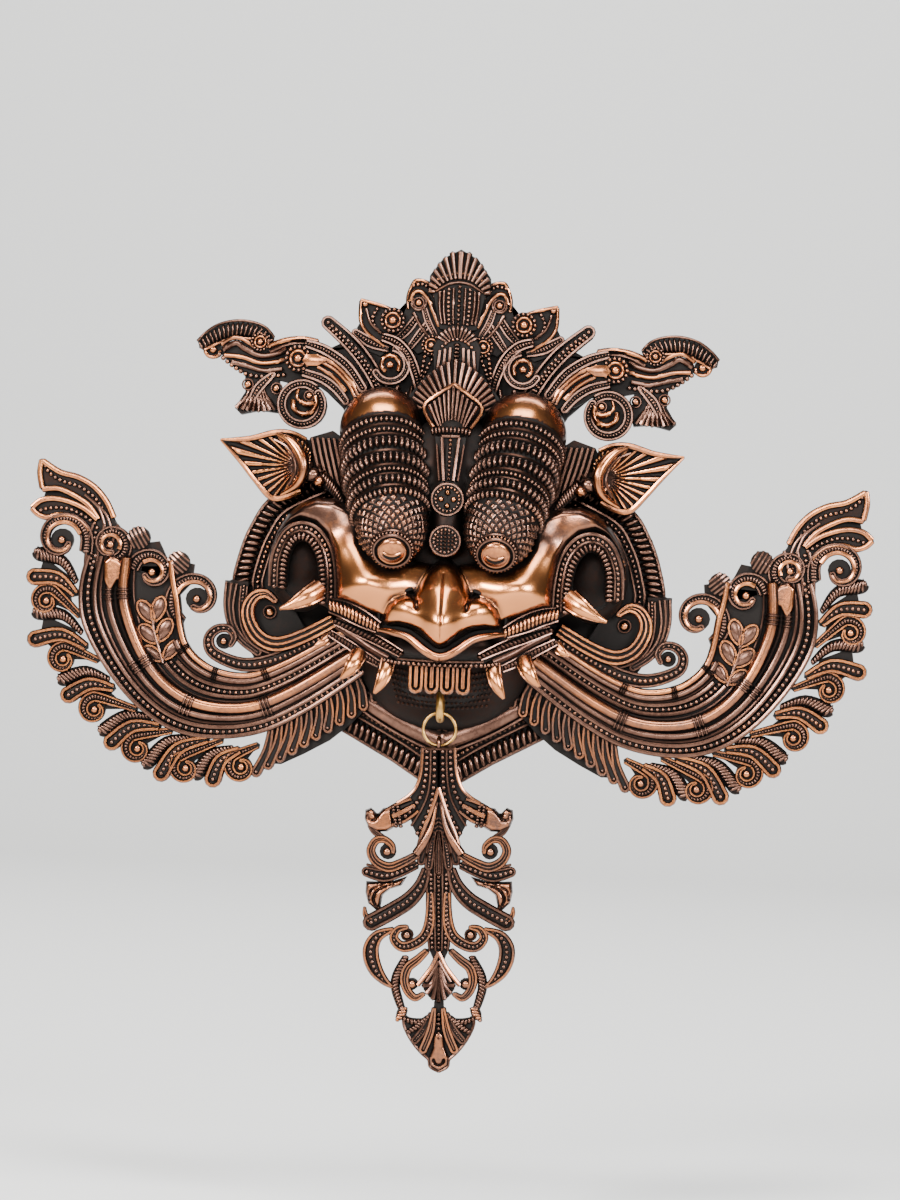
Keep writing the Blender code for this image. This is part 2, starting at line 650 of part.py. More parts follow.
def drop_shapes():
    """The right half of the drop about its own top, z = 0, and its own middle plane, y = 0."""
    rows = [
        flat_row([(0, 0), (0, -14), (0, -26), (0, -44), (0, -62)], 0.0, [8.5, 9.5, 12.0, 16.0, 6.0]),
        flat_row([(8, -22), (14, -30), (24, -36), (34, -39)], 0.0, [6.0, 6.5, 6.5, 5.5]),
        flat_row([(32, -40), (38, -38), (38.5, -33.5)], 0.0, [6.0, 3.4, 2.0]),
        flat_row([(4, -40), (8, -50), (12, -57)], 0.5, [5.0, 5.0, 3.0]),
        flat_row([(12, -58), (20, -64), (28, -66), (35, -61), (35.5, -54), (29, -51.5), (25, -56)], 0.0,
                 [3.6, 3.4, 3.2, 3.0, 2.8, 2.6, 2.4]),
        flat_row([(34, -44), (33, -49), (33, -53)], 0.0, [4.0, 3.0, 3.0]),
        flat_row([(12, -62), (22, -69), (30, -70.5), (38.5, -67)], 0.0, [2.6, 3.0, 3.6, 2.8]),
        flat_row([(34, -70), (34.5, -78), (31, -88)], 0.0, [4.0, 5.5, 3.0]),
        flat_row([(4, -66), (12, -80), (24, -90), (38, -98)], 0.0, [4.0, 4.0, 4.2, 4.6]),
        flat_row([(34, -92), (38.5, -89), (40, -87)], 0.0, [3.4, 2.8, 1.4]),
        flat_row([(4, -74), (6, -92), (12, -104), (19, -108), (24.5, -104), (23, -99.5), (17.5, -100.5)], 0.0,
                 [3.6, 3.4, 3.2, 3.0, 2.8, 2.6, 2.4]),
        flat_row([(0, -56), (0, -80), (0, -104), (0, -124), (0, -140)], 0.0, [6.0, 5.0, 4.2, 4.6, 7.0]),
        flat_row([(27, -100), (35, -107), (38, -116), (34, -126), (25, -132)], 0.0,
                 [3.4, 3.4, 3.0, 2.8, 2.4]),
        flat_row([(6, -108), (14, -116), (19, -126), (16, -136), (11, -134)], 0.0, [3.4, 3.0, 3.0, 2.8, 2.4]),
        flat_row([(19, -112), (23, -122), (25, -134), (21, -146)], 0.0, [3.4, 3.2, 3.2, 3.4]),
        flat_row([(0, -122), (6, -128), (12, -131)], 0.0, [3.0, 3.4, 2.8]),
        flat_row([(0, -140), (0, -150), (0, -162), (0, -176)], 0.0, [5.0, 9.0, 7.0, 3.0]),
        flat_row([(3, -144), (12, -152), (18, -158)], 0.0, [4.0, 5.0, 3.0]),
        flat_row([(3, -146), (9, -158), (12, -167)], 0.0, [4.0, 5.0, 2.8]),
        flat_row([(8, -147), (16, -150), (20, -148)], 0.0, [3.6, 3.4, 3.0]),
    ]
    tall = drop_length / DRAWN_DROP_LENGTH
    wide = drop_half_width / DRAWN_DROP_HALF_WIDTH
    thick = drop_thickness / 8.0
    dots = [(30, 0, -58, 2.6, 3.4, 2.6), (18.5, 0, -104, 2.6, 3.4, 2.6), (15, 0, -130, 2.6, 3.4, 2.6),
            (0, 0, -50, 10, 4.4, 14)]
    half = [stems(rows, 0.85, 3, 1), blobs(dots)]
    both = half + [mirrored(mesh) for mesh in half]
    return [stretch(mesh, (0.0, 0.0, 0.0), (wide, thick, tall)) for mesh in both]


def drop():
    """The drop with its lug, swung about the ring's lowest point."""
    body = cast(drop_shapes(), drop_share)
    flat = link("flat", body)
    reach = 2.0 * drop_length
    behind = slab([(-reach, -reach), (reach, -reach), (reach, reach), (-reach, reach)], -reach, -drop_thickness / 2.0)
    cut(flat, [behind])
    lug_radius = (lug_hole + lug_wire) / 2.0
    body = flat.data
    bpy.data.objects.remove(flat)
    lug_z = ring_centre_z - ring_radius + ring_wire / 2.0 + link_gap - lug_hole / 2.0
    hung = Matrix.Translation((0.0, -ring_plane, drop_top))
    body.transform(hung)
    lug = link("lug", round_link(0.0, -ring_plane, lug_z, lug_radius, lug_wire, "y", 16, 8))
    whole = link("whole", body)
    step = lug.modifiers.new("weld", "BOOLEAN")
    step.operation = "UNION"
    step.solver = "EXACT"
    step.object = whole
    bpy.context.view_layer.update()
    mesh = bpy.data.meshes.new_from_object(lug.evaluated_get(bpy.context.evaluated_depsgraph_get()))
    bpy.data.objects.remove(lug)
    bpy.data.objects.remove(whole)
    about = Matrix.Translation((0.0, 0.0, ring_centre_z - ring_radius))
    mesh.transform(about @ Matrix.Rotation(-drop_swing, 4, "Y") @ about.inverted())
    return mesh


def build():
    clear_scene()
    copper = (0.42, 0.19, 0.10, 1.0)
    brass = (0.60, 0.40, 0.17, 1.0)
    socket = wire([(0.0, -ring_plane + hook_bend, hook_root + hook_seat + joint_gap),
                   (0.0, -ring_plane + hook_bend, hook_low)], hook_wire / 2.0 + joint_gap, 12)
    pocket = wing_pocket()
    finish(mask(), "mask", metal("mask_copper", copper, 0.36),
           [pocket, mirrored(pocket), socket, back_cutter(0.0)])
    one_wing = link("wing", wing())
    cut(one_wing, [head_keepout(), back_cutter(wing_back)])
    mesh = one_wing.data
    bpy.data.objects.remove(one_wing)
    finish(mirrored(mesh), "left_wing", metal("left_wing_copper", copper, 0.36))
    finish(mesh, "right_wing", metal("right_wing_copper", copper, 0.36))
    finish(wire(hook_line(), hook_wire / 2.0, 10), "eye_hook", metal("hook_brass", brass, 0.3))
    finish(round_link(0.0, -ring_plane, ring_centre_z, ring_radius, ring_wire, "x"), "ring",
           metal("ring_brass", brass, 0.34))
    finish(drop(), "pendant", metal("pendant_copper", copper, 0.36))


build()
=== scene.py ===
import json
import math

import bpy
import numpy as np
from mathutils import Matrix, Vector
from mathutils.bvhtree import BVHTree

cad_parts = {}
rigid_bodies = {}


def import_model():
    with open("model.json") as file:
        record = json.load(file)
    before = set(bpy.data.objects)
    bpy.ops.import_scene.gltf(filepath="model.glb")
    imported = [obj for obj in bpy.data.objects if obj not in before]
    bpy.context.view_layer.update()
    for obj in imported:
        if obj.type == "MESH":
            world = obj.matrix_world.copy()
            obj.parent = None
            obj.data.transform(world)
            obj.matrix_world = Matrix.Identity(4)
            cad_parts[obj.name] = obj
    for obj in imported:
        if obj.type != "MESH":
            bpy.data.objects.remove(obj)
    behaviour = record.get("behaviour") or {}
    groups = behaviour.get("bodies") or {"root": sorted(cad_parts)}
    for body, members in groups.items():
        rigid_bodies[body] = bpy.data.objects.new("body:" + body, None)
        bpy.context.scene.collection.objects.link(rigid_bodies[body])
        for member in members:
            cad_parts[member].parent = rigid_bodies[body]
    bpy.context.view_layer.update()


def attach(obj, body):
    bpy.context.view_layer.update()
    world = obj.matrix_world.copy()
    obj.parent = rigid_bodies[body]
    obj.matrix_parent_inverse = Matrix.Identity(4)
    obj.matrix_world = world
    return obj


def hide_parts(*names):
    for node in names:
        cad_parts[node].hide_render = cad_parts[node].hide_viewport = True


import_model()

# The drawing is in millimetres: x to the viewer's right, z up, and f the height out of the wall.
# Each casting is drawn as its right half and mirrored.
MM = 0.001
OUTWARD = np.array([0.0, -1.0, 0.0])
SIDEWAYS = np.array([1.0, 0.0, 0.0])

# Sizes shared with the solids
wing_back = 9.4
plate_front = 8.0
drop_plane = 48.0
drop_top = -80.15
drop_swing = math.radians(2.3)
ring_centre = (0.0, -70.1)
ring_radius = 8.85
ring_wire = 1.8
hook_wire = 4.4
hook_bend = 6.6

# Fineness, and how far apart beads stand as a share of their width
tube_sides = 8
line_steps = 5
bead_gap = 1.08

# How worn each kind of carving is: 0 is the dark ground, 1 is rubbed bright
GROUND = 0.07
SUNK = 0.20
RIB = 0.54
RIM = 0.67
BEAD = 0.76
SKIN = 0.78
BRIGHT = 0.92
POLISHED = 1.20


# Meshes: a carving gathers points, faces and the wear of each point

class Carving:
    """Half of a casting, gathered as arrays."""

    def __init__(self):
        self.points = []
        self.faces = []
        self.worn = []
        self.count = 0

    def add(self, points, faces, worn):
        points = np.asarray(points, dtype=float)
        self.points.append(points)
        self.faces.extend(np.asarray(face) + self.count for face in faces)
        self.worn.append(np.broadcast_to(np.asarray(worn, dtype=float), (len(points),)).copy())
        self.count += len(points)


def smooth_line(points, steps=line_steps):
    """A smooth line through points of any dimension."""
    points = [np.asarray(point, dtype=float) for point in points]
    line = []
    last = len(points) - 1
    for index in range(last):
        before = points[max(index - 1, 0)]
        start = points[index]
        end = points[index + 1]
        after = points[min(index + 2, last)]
        for step in range(steps):
            t = step / steps
            line.append(0.5 * (2 * start + (end - before) * t
                               + (2 * before - 5 * start + 4 * end - after) * t * t
                               + (3 * start - before - 3 * end + after) * t * t * t))
    line.append(points[-1])
    return np.array(line)


def resample(line, pitch):
    """Points at an even pitch along a line, with both ends kept."""
    steps = np.linalg.norm(np.diff(line[:, :3], axis=0), axis=1)
    run = np.concatenate([[0.0], np.cumsum(steps)])
    count = max(int(round(run[-1] / pitch)), 1)
    places = np.linspace(0.0, run[-1], count + 1)
    return np.stack([np.interp(places, run, line[:, axis]) for axis in range(line.shape[1])], axis=1)


def unit(vectors):
    return vectors / np.maximum(np.linalg.norm(vectors, axis=-1, keepdims=True), 1e-9)


def tangents(line):
    return unit(np.gradient(line[:, :3], axis=0))


def tube(carving, line, radii, worn, fronts=None, flat=1.0, sides=tube_sides, closed=False):
    """A round or flattened bar along a line of (x, y, z), closed at its ends or into a loop."""
    line = np.asarray(line, dtype=float)[:, :3]
    count = len(line)
    radii = np.broadcast_to(np.asarray(radii, dtype=float), (count,))
    heights = radii * np.broadcast_to(np.asarray(flat, dtype=float), (count,))
    along = unit(np.roll(line, -1, 0) - np.roll(line, 1, 0)) if closed else tangents(line)
    if fronts is None:
        fronts = np.tile(OUTWARD, (count, 1))
    side = unit(np.cross(along, fronts))
    out = unit(np.cross(side, along))
    angles = np.linspace(0.0, 2.0 * math.pi, sides, endpoint=False)
    rings = (line[:, None, :]
             + side[:, None, :] * (np.cos(angles)[None, :, None] * radii[:, None, None])
             + out[:, None, :] * (np.sin(angles)[None, :, None] * heights[:, None, None]))
    points = rings.reshape(-1, 3)
    faces = []
    spans = count if closed else count - 1
    for span in range(spans):
        one = span * sides
        two = ((span + 1) % count) * sides
        for step in range(sides):
            after = (step + 1) % sides
            faces.append((one + step, two + step, two + after, one + after))
    if not closed:
        ends = [line[0] - along[0] * radii[0] * 0.6, line[-1] + along[-1] * radii[-1] * 0.6]
        points = np.concatenate([points, ends])
        low = count * sides
        last = (count - 1) * sides
        for step in range(sides):
            after = (step + 1) % sides
            faces.append((low, step, after))
            faces.append((low + 1, last + after, last + step))
    carving.add(points, faces, worn)


def ring_faces(rings, sides):
    """The four-sided faces between rings of points that follow each other."""
    faces = []
    for ring in range(rings - 1):
        low = ring * sides
        for step in range(sides):
            after = (step + 1) % sides
            faces.append((low + step, low + after, low + sides + after, low + sides + step))
    return faces


def dome_shape(around=8, up=3):
    """A low dome of radius 1 on a flat base, as points and faces."""
    points = []
    for level in range(up):
        lift = math.pi / 2.0 * level / up
        for step in range(around):
            angle = 2.0 * math.pi * step / around
            points.append((math.cos(angle) * math.cos(lift), math.sin(angle) * math.cos(lift),
                           math.sin(lift)))
    points.append((0.0, 0.0, 1.0))
    faces = ring_faces(up, around)
    low = (up - 1) * around
    for step in range(around):
        faces.append((low + step, low + (step + 1) % around, len(points) - 1))
    faces.append(tuple(range(around - 1, -1, -1)))
    return np.array(points), faces


BEAD_SHAPE = dome_shape()
BOSS_SHAPE = dome_shape(14, 5)


def studs(carving, places, along, fronts, long_half, wide_half, height, worn, shape=BEAD_SHAPE):
    """Domes at the given places: half length along the line, half width across it, and height."""
    places = np.asarray(places, dtype=float)[:, :3]
    count = len(places)
    fronts = unit(np.broadcast_to(np.asarray(fronts, dtype=float), (count, 3)))
    along = np.broadcast_to(np.asarray(along, dtype=float), (count, 3))
    across = unit(np.cross(fronts, along))
    along = unit(np.cross(across, fronts))
    long_half = np.broadcast_to(long_half, (count,))[:, None, None]
    wide_half = np.broadcast_to(wide_half, (count,))[:, None, None]
    height = np.broadcast_to(height, (count,))[:, None, None]
    points, faces = shape
    spread = (places[:, None, :] + along[:, None, :] * points[None, :, 0:1] * long_half
              + across[:, None, :] * points[None, :, 1:2] * wide_half
              + fronts[:, None, :] * points[None, :, 2:3] * height)
    every = []
    for index in range(count):
        low = index * len(points)
        every.extend(tuple(low + corner for corner in face) for face in faces)
    carving.add(spread.reshape(-1, 3), every, worn)


def circle(x, z, radius, count):
    """Places (x, z) round a centre."""
    return [(x + radius * math.cos(angle), z + radius * math.sin(angle))
            for angle in np.linspace(0.0, 2.0 * math.pi, count, endpoint=False)]


def lift(points, f):
    """Points (x, z) or (x, z, f) as (x, y, z)."""
    return np.array([(point[0], -(point[2] if len(point) > 2 else f), point[1]) for point in points])


def shifted(line, widths, share, front=OUTWARD):
    """A line moved sideways by a share of its half widths."""
    side = unit(np.cross(tangents(line), front))
    return line[:, :3] + side * (np.asarray(widths) * share)[:, None]


def beads(carving, line, radius, rise=0.9, front=OUTWARD):
    """A row of beads along a line, almost touching each other."""
    row = resample(line, 2.0 * radius * bead_gap)
    studs(carving, row, tangents(row), front, radius, radius, radius * rise, BEAD)


def milled(carving, line, half_width, pitch=1.7, height=1.2, front=OUTWARD):
    """A band of short ridges across a line."""
    row = resample(line, pitch)
    studs(carving, row, tangents(row), front, pitch * 0.56, half_width, height, RIM)


def bar(carving, points, f, radii, worn=RIM, sides=tube_sides, flat=1.0, steps=line_steps):
    """A bar along a smooth line through (x, z) places at height f."""
    tube(carving, smooth_line(lift(points, f), steps), radii, worn, flat=flat, sides=sides)


def bead_row(carving, points, f, radius, rise=0.9):
    """A row of beads along a smooth line through (x, z) places at height f."""
    beads(carving, smooth_line(lift(points, f)), radius, rise)


def ribbon(carving, points, widths, f, rim=0.95, fill="beads", thick=3.6, ground=SUNK, rim_worn=RIM):
    """A tapered strap with raised rims, a round end and a filling, the unit of the leaf carving.

    The half widths are one for each point. The strap's face stands at height f.
    """
    mixed = smooth_line(np.column_stack([lift(points, f), widths]))
    line = mixed[:, :3]
    half = np.maximum(mixed[:, 3], rim)
    base = line + np.array([0.0, thick - 0.4, 0.0])
    tube(carving, base, half, ground, flat=thick / half, sides=10)
    inset = np.maximum(half - rim, 0.0)
    left = shifted(line, inset, 1.0)
    right = shifted(line, inset, -1.0)
    ahead = tangents(line)[-1]
    across = unit(np.cross(ahead, OUTWARD))
    turn = [line[-1] + across * math.cos(angle) * inset[-1] + ahead * math.sin(angle) * inset[-1]
            for angle in np.linspace(0.35, math.pi - 0.35, 5)]
    tube(carving, np.concatenate([left, np.array(turn), right[::-1]]), rim, rim_worn, sides=6)
    if inset[-1] > 1.2:
        x, y, z = line[-1]
        slab(carving, circle(x, z, inset[-1], 10), -y - thick - 1.0, -y - 0.6, ground)
    inner = inset - rim
    if fill == "beads":
        keep = inner > 0.45
        if keep.sum() > 2:
            bead_line = line[keep]
            radius = float(np.clip(inner[keep].mean(), 0.6, 1.35))
            row = resample(np.column_stack([bead_line, inner[keep]]), 2.0 * radius * bead_gap)
            size = np.clip(row[:, 3], 0.5, 1.4)
            studs(carving, row, tangents(row), OUTWARD, radius, size, radius * 0.95, BEAD)
    elif fill == "milled":
        keep = inner > 0.4
        if keep.sum() > 2:
            row = resample(np.column_stack([line[keep], inner[keep]]), 1.7)
            studs(carving, row, tangents(row), OUTWARD, 0.9, row[:, 3] * 0.95, 1.1, RIM)
    elif fill == "rib":
        tube(carving, line, np.maximum(inner * 0.55, 0.35), rim_worn, sides=6)


def rope(carving, points, widths, f, thick=3.2, worn=RIB, pitch=1.9):
    """A strap whose face is all slanted strands."""
    mixed = smooth_line(np.column_stack([lift(points, f), widths]))
    line = mixed[:, :3]
    half = mixed[:, 3]
    tube(carving, line + np.array([0.0, thick - 0.6, 0.0]), half, SUNK, flat=thick / half, sides=10)
    row = resample(mixed, pitch)
    along = tangents(row)
    side = unit(np.cross(along, OUTWARD))
    studs(carving, row, unit(along + side * 0.55), OUTWARD, pitch * 0.6, row[:, 3] * 1.04, 1.3, worn)


def volute_line(x, z, r_start, a_start, r_end, a_end, count=10):
    """Points (x, z) that wind about a centre from one radius and angle to another."""
    points = []
    for index in range(count):
        t = index / (count - 1)
        angle = math.radians(a_start + (a_end - a_start) * t)
        radius = r_start + (r_end - r_start) * t
        points.append((x + radius * math.cos(angle), z + radius * math.sin(angle)))
    return points


def boss(carving, x, z, radius, f, ring=True):
    """A round stud, by itself or with a thin ring round its foot."""
    if ring:
        tube(carving, lift(circle(x, z, radius * 1.35, 16), f), radius * 0.22, RIB, closed=True, sides=6)
    studs(carving, [(x, -f, z)], SIDEWAYS, OUTWARD, radius, radius, radius * 0.8, BRIGHT, BOSS_SHAPE)


def slab(carving, outline, back, front, worn=GROUND, dome=0.0):
    """A flat form with the given (x, z) outline, its front a little domed."""
    ring = np.array([(point[0], point[1]) for point in outline])
    middle = ring.mean(axis=0)
    levels = [(1.0, back), (1.0, front - 1.0), (0.985, front), (0.6, front + dome * 0.8), (0.0, front + dome)]
    points = []
    for share, f in levels[:-1]:
        for x, z in ring:
            points.append((middle[0] + (x - middle[0]) * share, -f, middle[1] + (z - middle[1]) * share))
    points.append((middle[0], -levels[-1][1], middle[1]))
    count = len(ring)
    faces = ring_faces(len(levels) - 1, count)
    low = (len(levels) - 2) * count
    for step in range(count):
        faces.append((low + step, low + (step + 1) % count, len(points) - 1))
    faces.append(tuple(range(count - 1, -1, -1)))
    carving.add(points, faces, worn)


def round_slab(carving, x, z, radius, back, front, worn=GROUND, dome=0.0, sides=14):
    """A round slab."""
    slab(carving, circle(x, z, radius, sides), back, front, worn, dome)


def flat_top(f):
    """A height function that is f everywhere."""
    return lambda x, z: f + 0.0 * x


def edge_distance(across, up, outline):
    """How far inside a closed outline points lie, negative outside, and the outline's nearest points."""
    places = np.stack([across.ravel(), up.ravel()], axis=1)
    starts = np.asarray(outline, dtype=float)
    best = np.full(len(places), 1e9)
    near = np.zeros_like(places)
    inside = np.zeros(len(places), dtype=bool)
    for start, end in zip(starts, np.roll(starts, -1, 0)):
        run = end - start
        t = np.clip(((places - start) @ run) / max(run @ run, 1e-9), 0.0, 1.0)
        foot = start + t[:, None] * run
        away = np.linalg.norm(places - foot, axis=1)
        closer = away < best
        best[closer] = away[closer]
        near[closer] = foot[closer]
        if abs(run[1]) > 1e-9:
            crossed = (start[1] > places[:, 1]) != (end[1] > places[:, 1])
            inside ^= crossed & (places[:, 0] < start[0] + (places[:, 1] - start[1]) * run[0] / run[1])
    shape = across.shape
    return np.where(inside, best, -best).reshape(shape), near.reshape(*shape, 2)


def height_map(places, mirrored=False):
    """A smooth height over (x, z) through the given places (x, z, f)."""
    rows = list(places)
    if mirrored:
        rows += [(-x, z, f) for x, z, f in places if x > 0.01]
    rows = np.array(rows, dtype=float)
    spots, heights = rows[:, :2], rows[:, 2]

    def bend(gaps):
        return gaps * gaps * np.log(np.maximum(gaps, 1e-6))

    count = len(rows)
    gaps = np.linalg.norm(spots[:, None, :] - spots[None, :, :], axis=2)
    system = np.zeros((count + 3, count + 3))
    system[:count, :count] = bend(gaps)
    system[:count, count] = 1.0
    system[:count, count + 1:] = spots
    system[count:, :count] = system[:count, count:].T
    weights = np.linalg.solve(system, np.concatenate([heights, np.zeros(3)]))

    def height(across, up):
        value = weights[count] + weights[count + 1] * across + weights[count + 2] * up
        for (x, z), weight in zip(spots, weights[:count]):
            value = value + weight * bend(np.hypot(across - x, up - z))
        return value

    return height


def relief(carving, parts, box, pitch, worn, grooves=()):
    """A modelled skin over a grid, at each place the highest of several rounded parts.

    Each part is an outline, how far its edge lies back, the width of its rounding and its height over (x, z).
    A groove is a line (x, z) with a depth and a width.
    """
    across, up = np.meshgrid(np.arange(box[0], box[2] + pitch, pitch),
                             np.arange(box[1], box[3] + pitch, pitch))
    top = np.full(across.shape, -1e3)
    depth = np.full(across.shape, -1e3)
    feet = np.zeros((*across.shape, 2))
    rims = np.zeros(across.shape)
    for outline, back, rounding, height in parts:
        inside, near = edge_distance(across, up, outline)
        share = np.clip(inside / rounding, 0.0, 1.0)
        body = height(across, up) - back * (1.0 - np.sqrt(1.0 - (1.0 - share) ** 2))
        taller = (inside > 0.0) & (body > top)
        top = np.where(taller, body, top)
        nearer = inside > depth
        depth = np.where(nearer, inside, depth)
        feet[nearer] = near[nearer]
        rims[nearer] = (height(near[..., 0], near[..., 1]) - back)[nearer]
    for line, deep, wide in grooves:
        line = smooth_line(line, 6)
        away = np.full(across.shape, 1e9)
        for x, z in resample(np.column_stack([line, np.zeros(len(line))]), 0.5)[:, :2]:
            away = np.minimum(away, np.hypot(across - x, up - z))
        top = top - deep * np.exp(-(away / wide) ** 2)
    outside = depth <= 0.4 * pitch
    points = np.stack([np.where(outside, feet[..., 0], across), -np.where(outside, rims, top),
                       np.where(outside, feet[..., 1], up)], axis=2)
    rows, columns = across.shape
    use = depth > -0.75 * pitch
    whole = use[:-1, :-1] & use[1:, :-1] & use[:-1, 1:] & use[1:, 1:]
    corner = np.arange(rows * columns).reshape(rows, columns)
    faces = [(corner[r, c], corner[r, c + 1], corner[r + 1, c + 1], corner[r + 1, c])
             for r, c in zip(*np.nonzero(whole))]
    kept, renamed = np.unique(np.array(faces), return_inverse=True)
    faces = renamed.reshape(-1, 4)
    points = points.reshape(-1, 3)[kept]
    carving.add(points, faces, worn(points[:, 0], points[:, 2]) if callable(worn) else worn)


def clear_selection():
    for thing in bpy.data.objects:
        thing.select_set(False)


def make_piece(name, carving, material, back=None, only="both", angle=40.0):
    """One object of the carving's right half, its mirror image or both, flat behind the plane f = back."""
    points = np.concatenate(carving.points)
    worn = np.concatenate(carving.worn)
    if back is not None:
        points[:, 1] = np.minimum(points[:, 1], -back)
    faces = [tuple(int(corner) for corner in face) for face in carving.faces]
    turned = [tuple(reversed(face)) for face in faces]
    flipped = points * np.array([-1.0, 1.0, 1.0])
    if only == "left":
        points, faces = flipped, turned
    elif only == "both":
        count = len(points)
        faces = faces + [tuple(corner + count for corner in face) for face in turned]
        points = np.concatenate([points, flipped])
        worn = np.concatenate([worn, worn])
    mesh = bpy.data.meshes.new(name)
    mesh.from_pydata((points * MM).tolist(), [], faces)
    layer = mesh.attributes.new("worn", "FLOAT", "POINT")
    layer.data.foreach_set("value", worn)
    mesh.update()
    piece = bpy.data.objects.new(name, mesh)
    bpy.context.scene.collection.objects.link(piece)
    clear_selection()
    piece.select_set(True)
    bpy.context.view_layer.objects.active = piece
    bpy.ops.object.mode_set(mode="EDIT")
    bpy.ops.mesh.select_all(action="SELECT")
    bpy.ops.mesh.normals_make_consistent(inside=False)
    bpy.ops.object.mode_set(mode="OBJECT")
    bpy.ops.object.shade_smooth_by_angle(angle=math.radians(angle))
    mesh.materials.append(material)
    return piece


# Materials

def linear(hex_colour):
    """An sRGB hex colour as a linear one."""
    values = [int(hex_colour[i:i + 2], 16) / 255.0 for i in (1, 3, 5)]
    return (*[v / 12.92 if v <= 0.04045 else ((v + 0.055) / 1.055) ** 2.4 for v in values], 1.0)


def node(tree, kind, settings=None, stops=(), **inputs):
    """A node with its settings, a ramp's stops, and its inputs as values or the outputs of other nodes."""
    made = tree.nodes.new(kind)
    for name, value in (settings or {}).items():
        setattr(made, name, value)
    for index, (place, colour) in enumerate(stops):
        # A new ramp comes with two stops
        stop = made.color_ramp.elements[index] if index < 2 else made.color_ramp.elements.new(place)
        stop.position = place
        stop.color = colour
    for name, value in inputs.items():
        key = int(name[1:]) if name[0] == "i" and name[1:].isdigit() else name.replace("_", " ")
        if isinstance(value, bpy.types.NodeSocket):
            tree.links.new(value, made.inputs[key])
        else:
            made.inputs[key].default_value = value
    return made


def grey(value):
    """A ramp's colour that stands for a plain number."""
    return (value, value, value, 1.0)


def antique_copper(name):
    """Copper-plated brass, blackened and rubbed back.

    Near black in the recesses, partly blackened patina and partly painted shade, a dull rosy brown on the
    beads and ribs, and orange where it is rubbed most. Sides that turn away from the front are darkened by
    painted shade as well.
    """
    made = bpy.data.materials.new(name)
    made.use_nodes = True
    tree = made.node_tree
    shader = tree.nodes["Principled BSDF"]
    where = node(tree, "ShaderNodeTexCoord")
    worn = node(tree, "ShaderNodeAttribute", {"attribute_name": "worn"})
    split = node(tree, "ShaderNodeSeparateXYZ", Vector=where.outputs["Normal"])
    # Surfaces that look out of the wall are rubbed more than their own sides, and the sides also carry
    # painted shade: darker as they turn away from the front
    facing = node(tree, "ShaderNodeMapRange", i0=split.outputs["Y"], i1=0.1, i2=-0.75, i3=0.35, i4=1.0)
    # Painted shade: ambient occlusion darkens creases, recesses and the gaps between parts, and in the
    # hollows this partly stands for the blackened patina
    shade = node(tree, "ShaderNodeAmbientOcclusion", {"samples": 6}, Distance=0.006)
    hollow = node(tree, "ShaderNodeMapRange", i0=shade.outputs["AO"], i1=0.38, i2=0.88, i3=0.0, i4=1.0)
    # Patches of about 18 mm where the rubbing went further, and grime of about 2 mm
    patch = node(tree, "ShaderNodeTexNoise", Vector=where.outputs["Object"], Scale=1.0 / 0.018, Detail=3.0)
    grime = node(tree, "ShaderNodeTexNoise", Vector=where.outputs["Object"], Scale=1.0 / 0.002, Detail=4.0)
    wear_with_side_shade = node(tree, "ShaderNodeMath", {"operation": "MULTIPLY"}, i0=worn.outputs["Fac"],
                 i1=facing.outputs[0])
    wear_with_painted_shade = node(tree, "ShaderNodeMath", {"operation": "MULTIPLY"}, i0=wear_with_side_shade.outputs[0],
                   i1=hollow.outputs[0])
    patchy = node(tree, "ShaderNodeMath", {"operation": "MULTIPLY_ADD"}, i0=patch.outputs["Fac"], i1=0.44,
                  i2=wear_with_painted_shade.outputs[0])
    grimy = node(tree, "ShaderNodeMath", {"operation": "MULTIPLY_ADD"}, i0=grime.outputs["Fac"], i1=0.30,
                 i2=patchy.outputs[0])
    bright_share = node(tree, "ShaderNodeMath", {"operation": "SUBTRACT", "use_clamp": True}, i0=grimy.outputs[0],
                  i1=0.39)
    # What the share of wear and painted shade gives: colour, metal, roughness and the shine of handled places
    for socket, stops in (("Base Color", [(0.08, linear("#100B08")), (0.28, linear("#24150F")),
                                          (0.50, linear("#402B23")), (0.72, linear("#6A4A3C")),
                                          (0.88, linear("#A5633A")), (1.0, linear("#CC8048"))]),
                          ("Metallic", [(0.10, grey(0.75)), (0.36, grey(1.0))]),
                          ("Roughness", [(0.10, grey(0.62)), (0.45, grey(0.29)), (0.90, grey(0.23))]),
                          ("Coat Weight", [(0.45, grey(0.0)), (0.95, grey(0.45))])):
        band = node(tree, "ShaderNodeValToRGB", stops=stops, Fac=bright_share.outputs[0])
        tree.links.new(band.outputs["Color"], shader.inputs[socket])
    shader.inputs["Coat Roughness"].default_value = 0.22
    # Fine pits and polishing marks of about 0.6 mm, drawn at 1 mm so that they show
    pits = node(tree, "ShaderNodeTexNoise", Vector=where.outputs["Object"], Scale=1.0 / 0.001, Detail=3.0)
    bump = node(tree, "ShaderNodeBump", Strength=0.12, Distance=0.0003, Height=pits.outputs["Fac"])
    tree.links.new(bump.outputs["Normal"], shader.inputs["Normal"])
    return made


def drawn_brass(name):
    """Plain brass wire with a light tarnish: yellower than the castings, with soft streaks."""
    made = bpy.data.materials.new(name)
    made.use_nodes = True
    tree = made.node_tree
    shader = tree.nodes["Principled BSDF"]
    where = node(tree, "ShaderNodeTexCoord")
    cloud = node(tree, "ShaderNodeTexNoise", Vector=where.outputs["Object"], Scale=1.0 / 0.004, Detail=4.0)
    shader.inputs["Metallic"].default_value = 1.0
    for socket, stops in (("Base Color", [(0.25, linear("#6B4420")), (0.60, linear("#C79A55"))]),
                          ("Roughness", [(0.30, grey(0.42)), (0.70, grey(0.26))])):
        band = node(tree, "ShaderNodeValToRGB", stops=stops, Fac=cloud.outputs["Fac"])
        tree.links.new(band.outputs["Color"], shader.inputs[socket])
    return made


copper = antique_copper("antique_copper")
brass = drawn_brass("drawn_brass")


# Wing

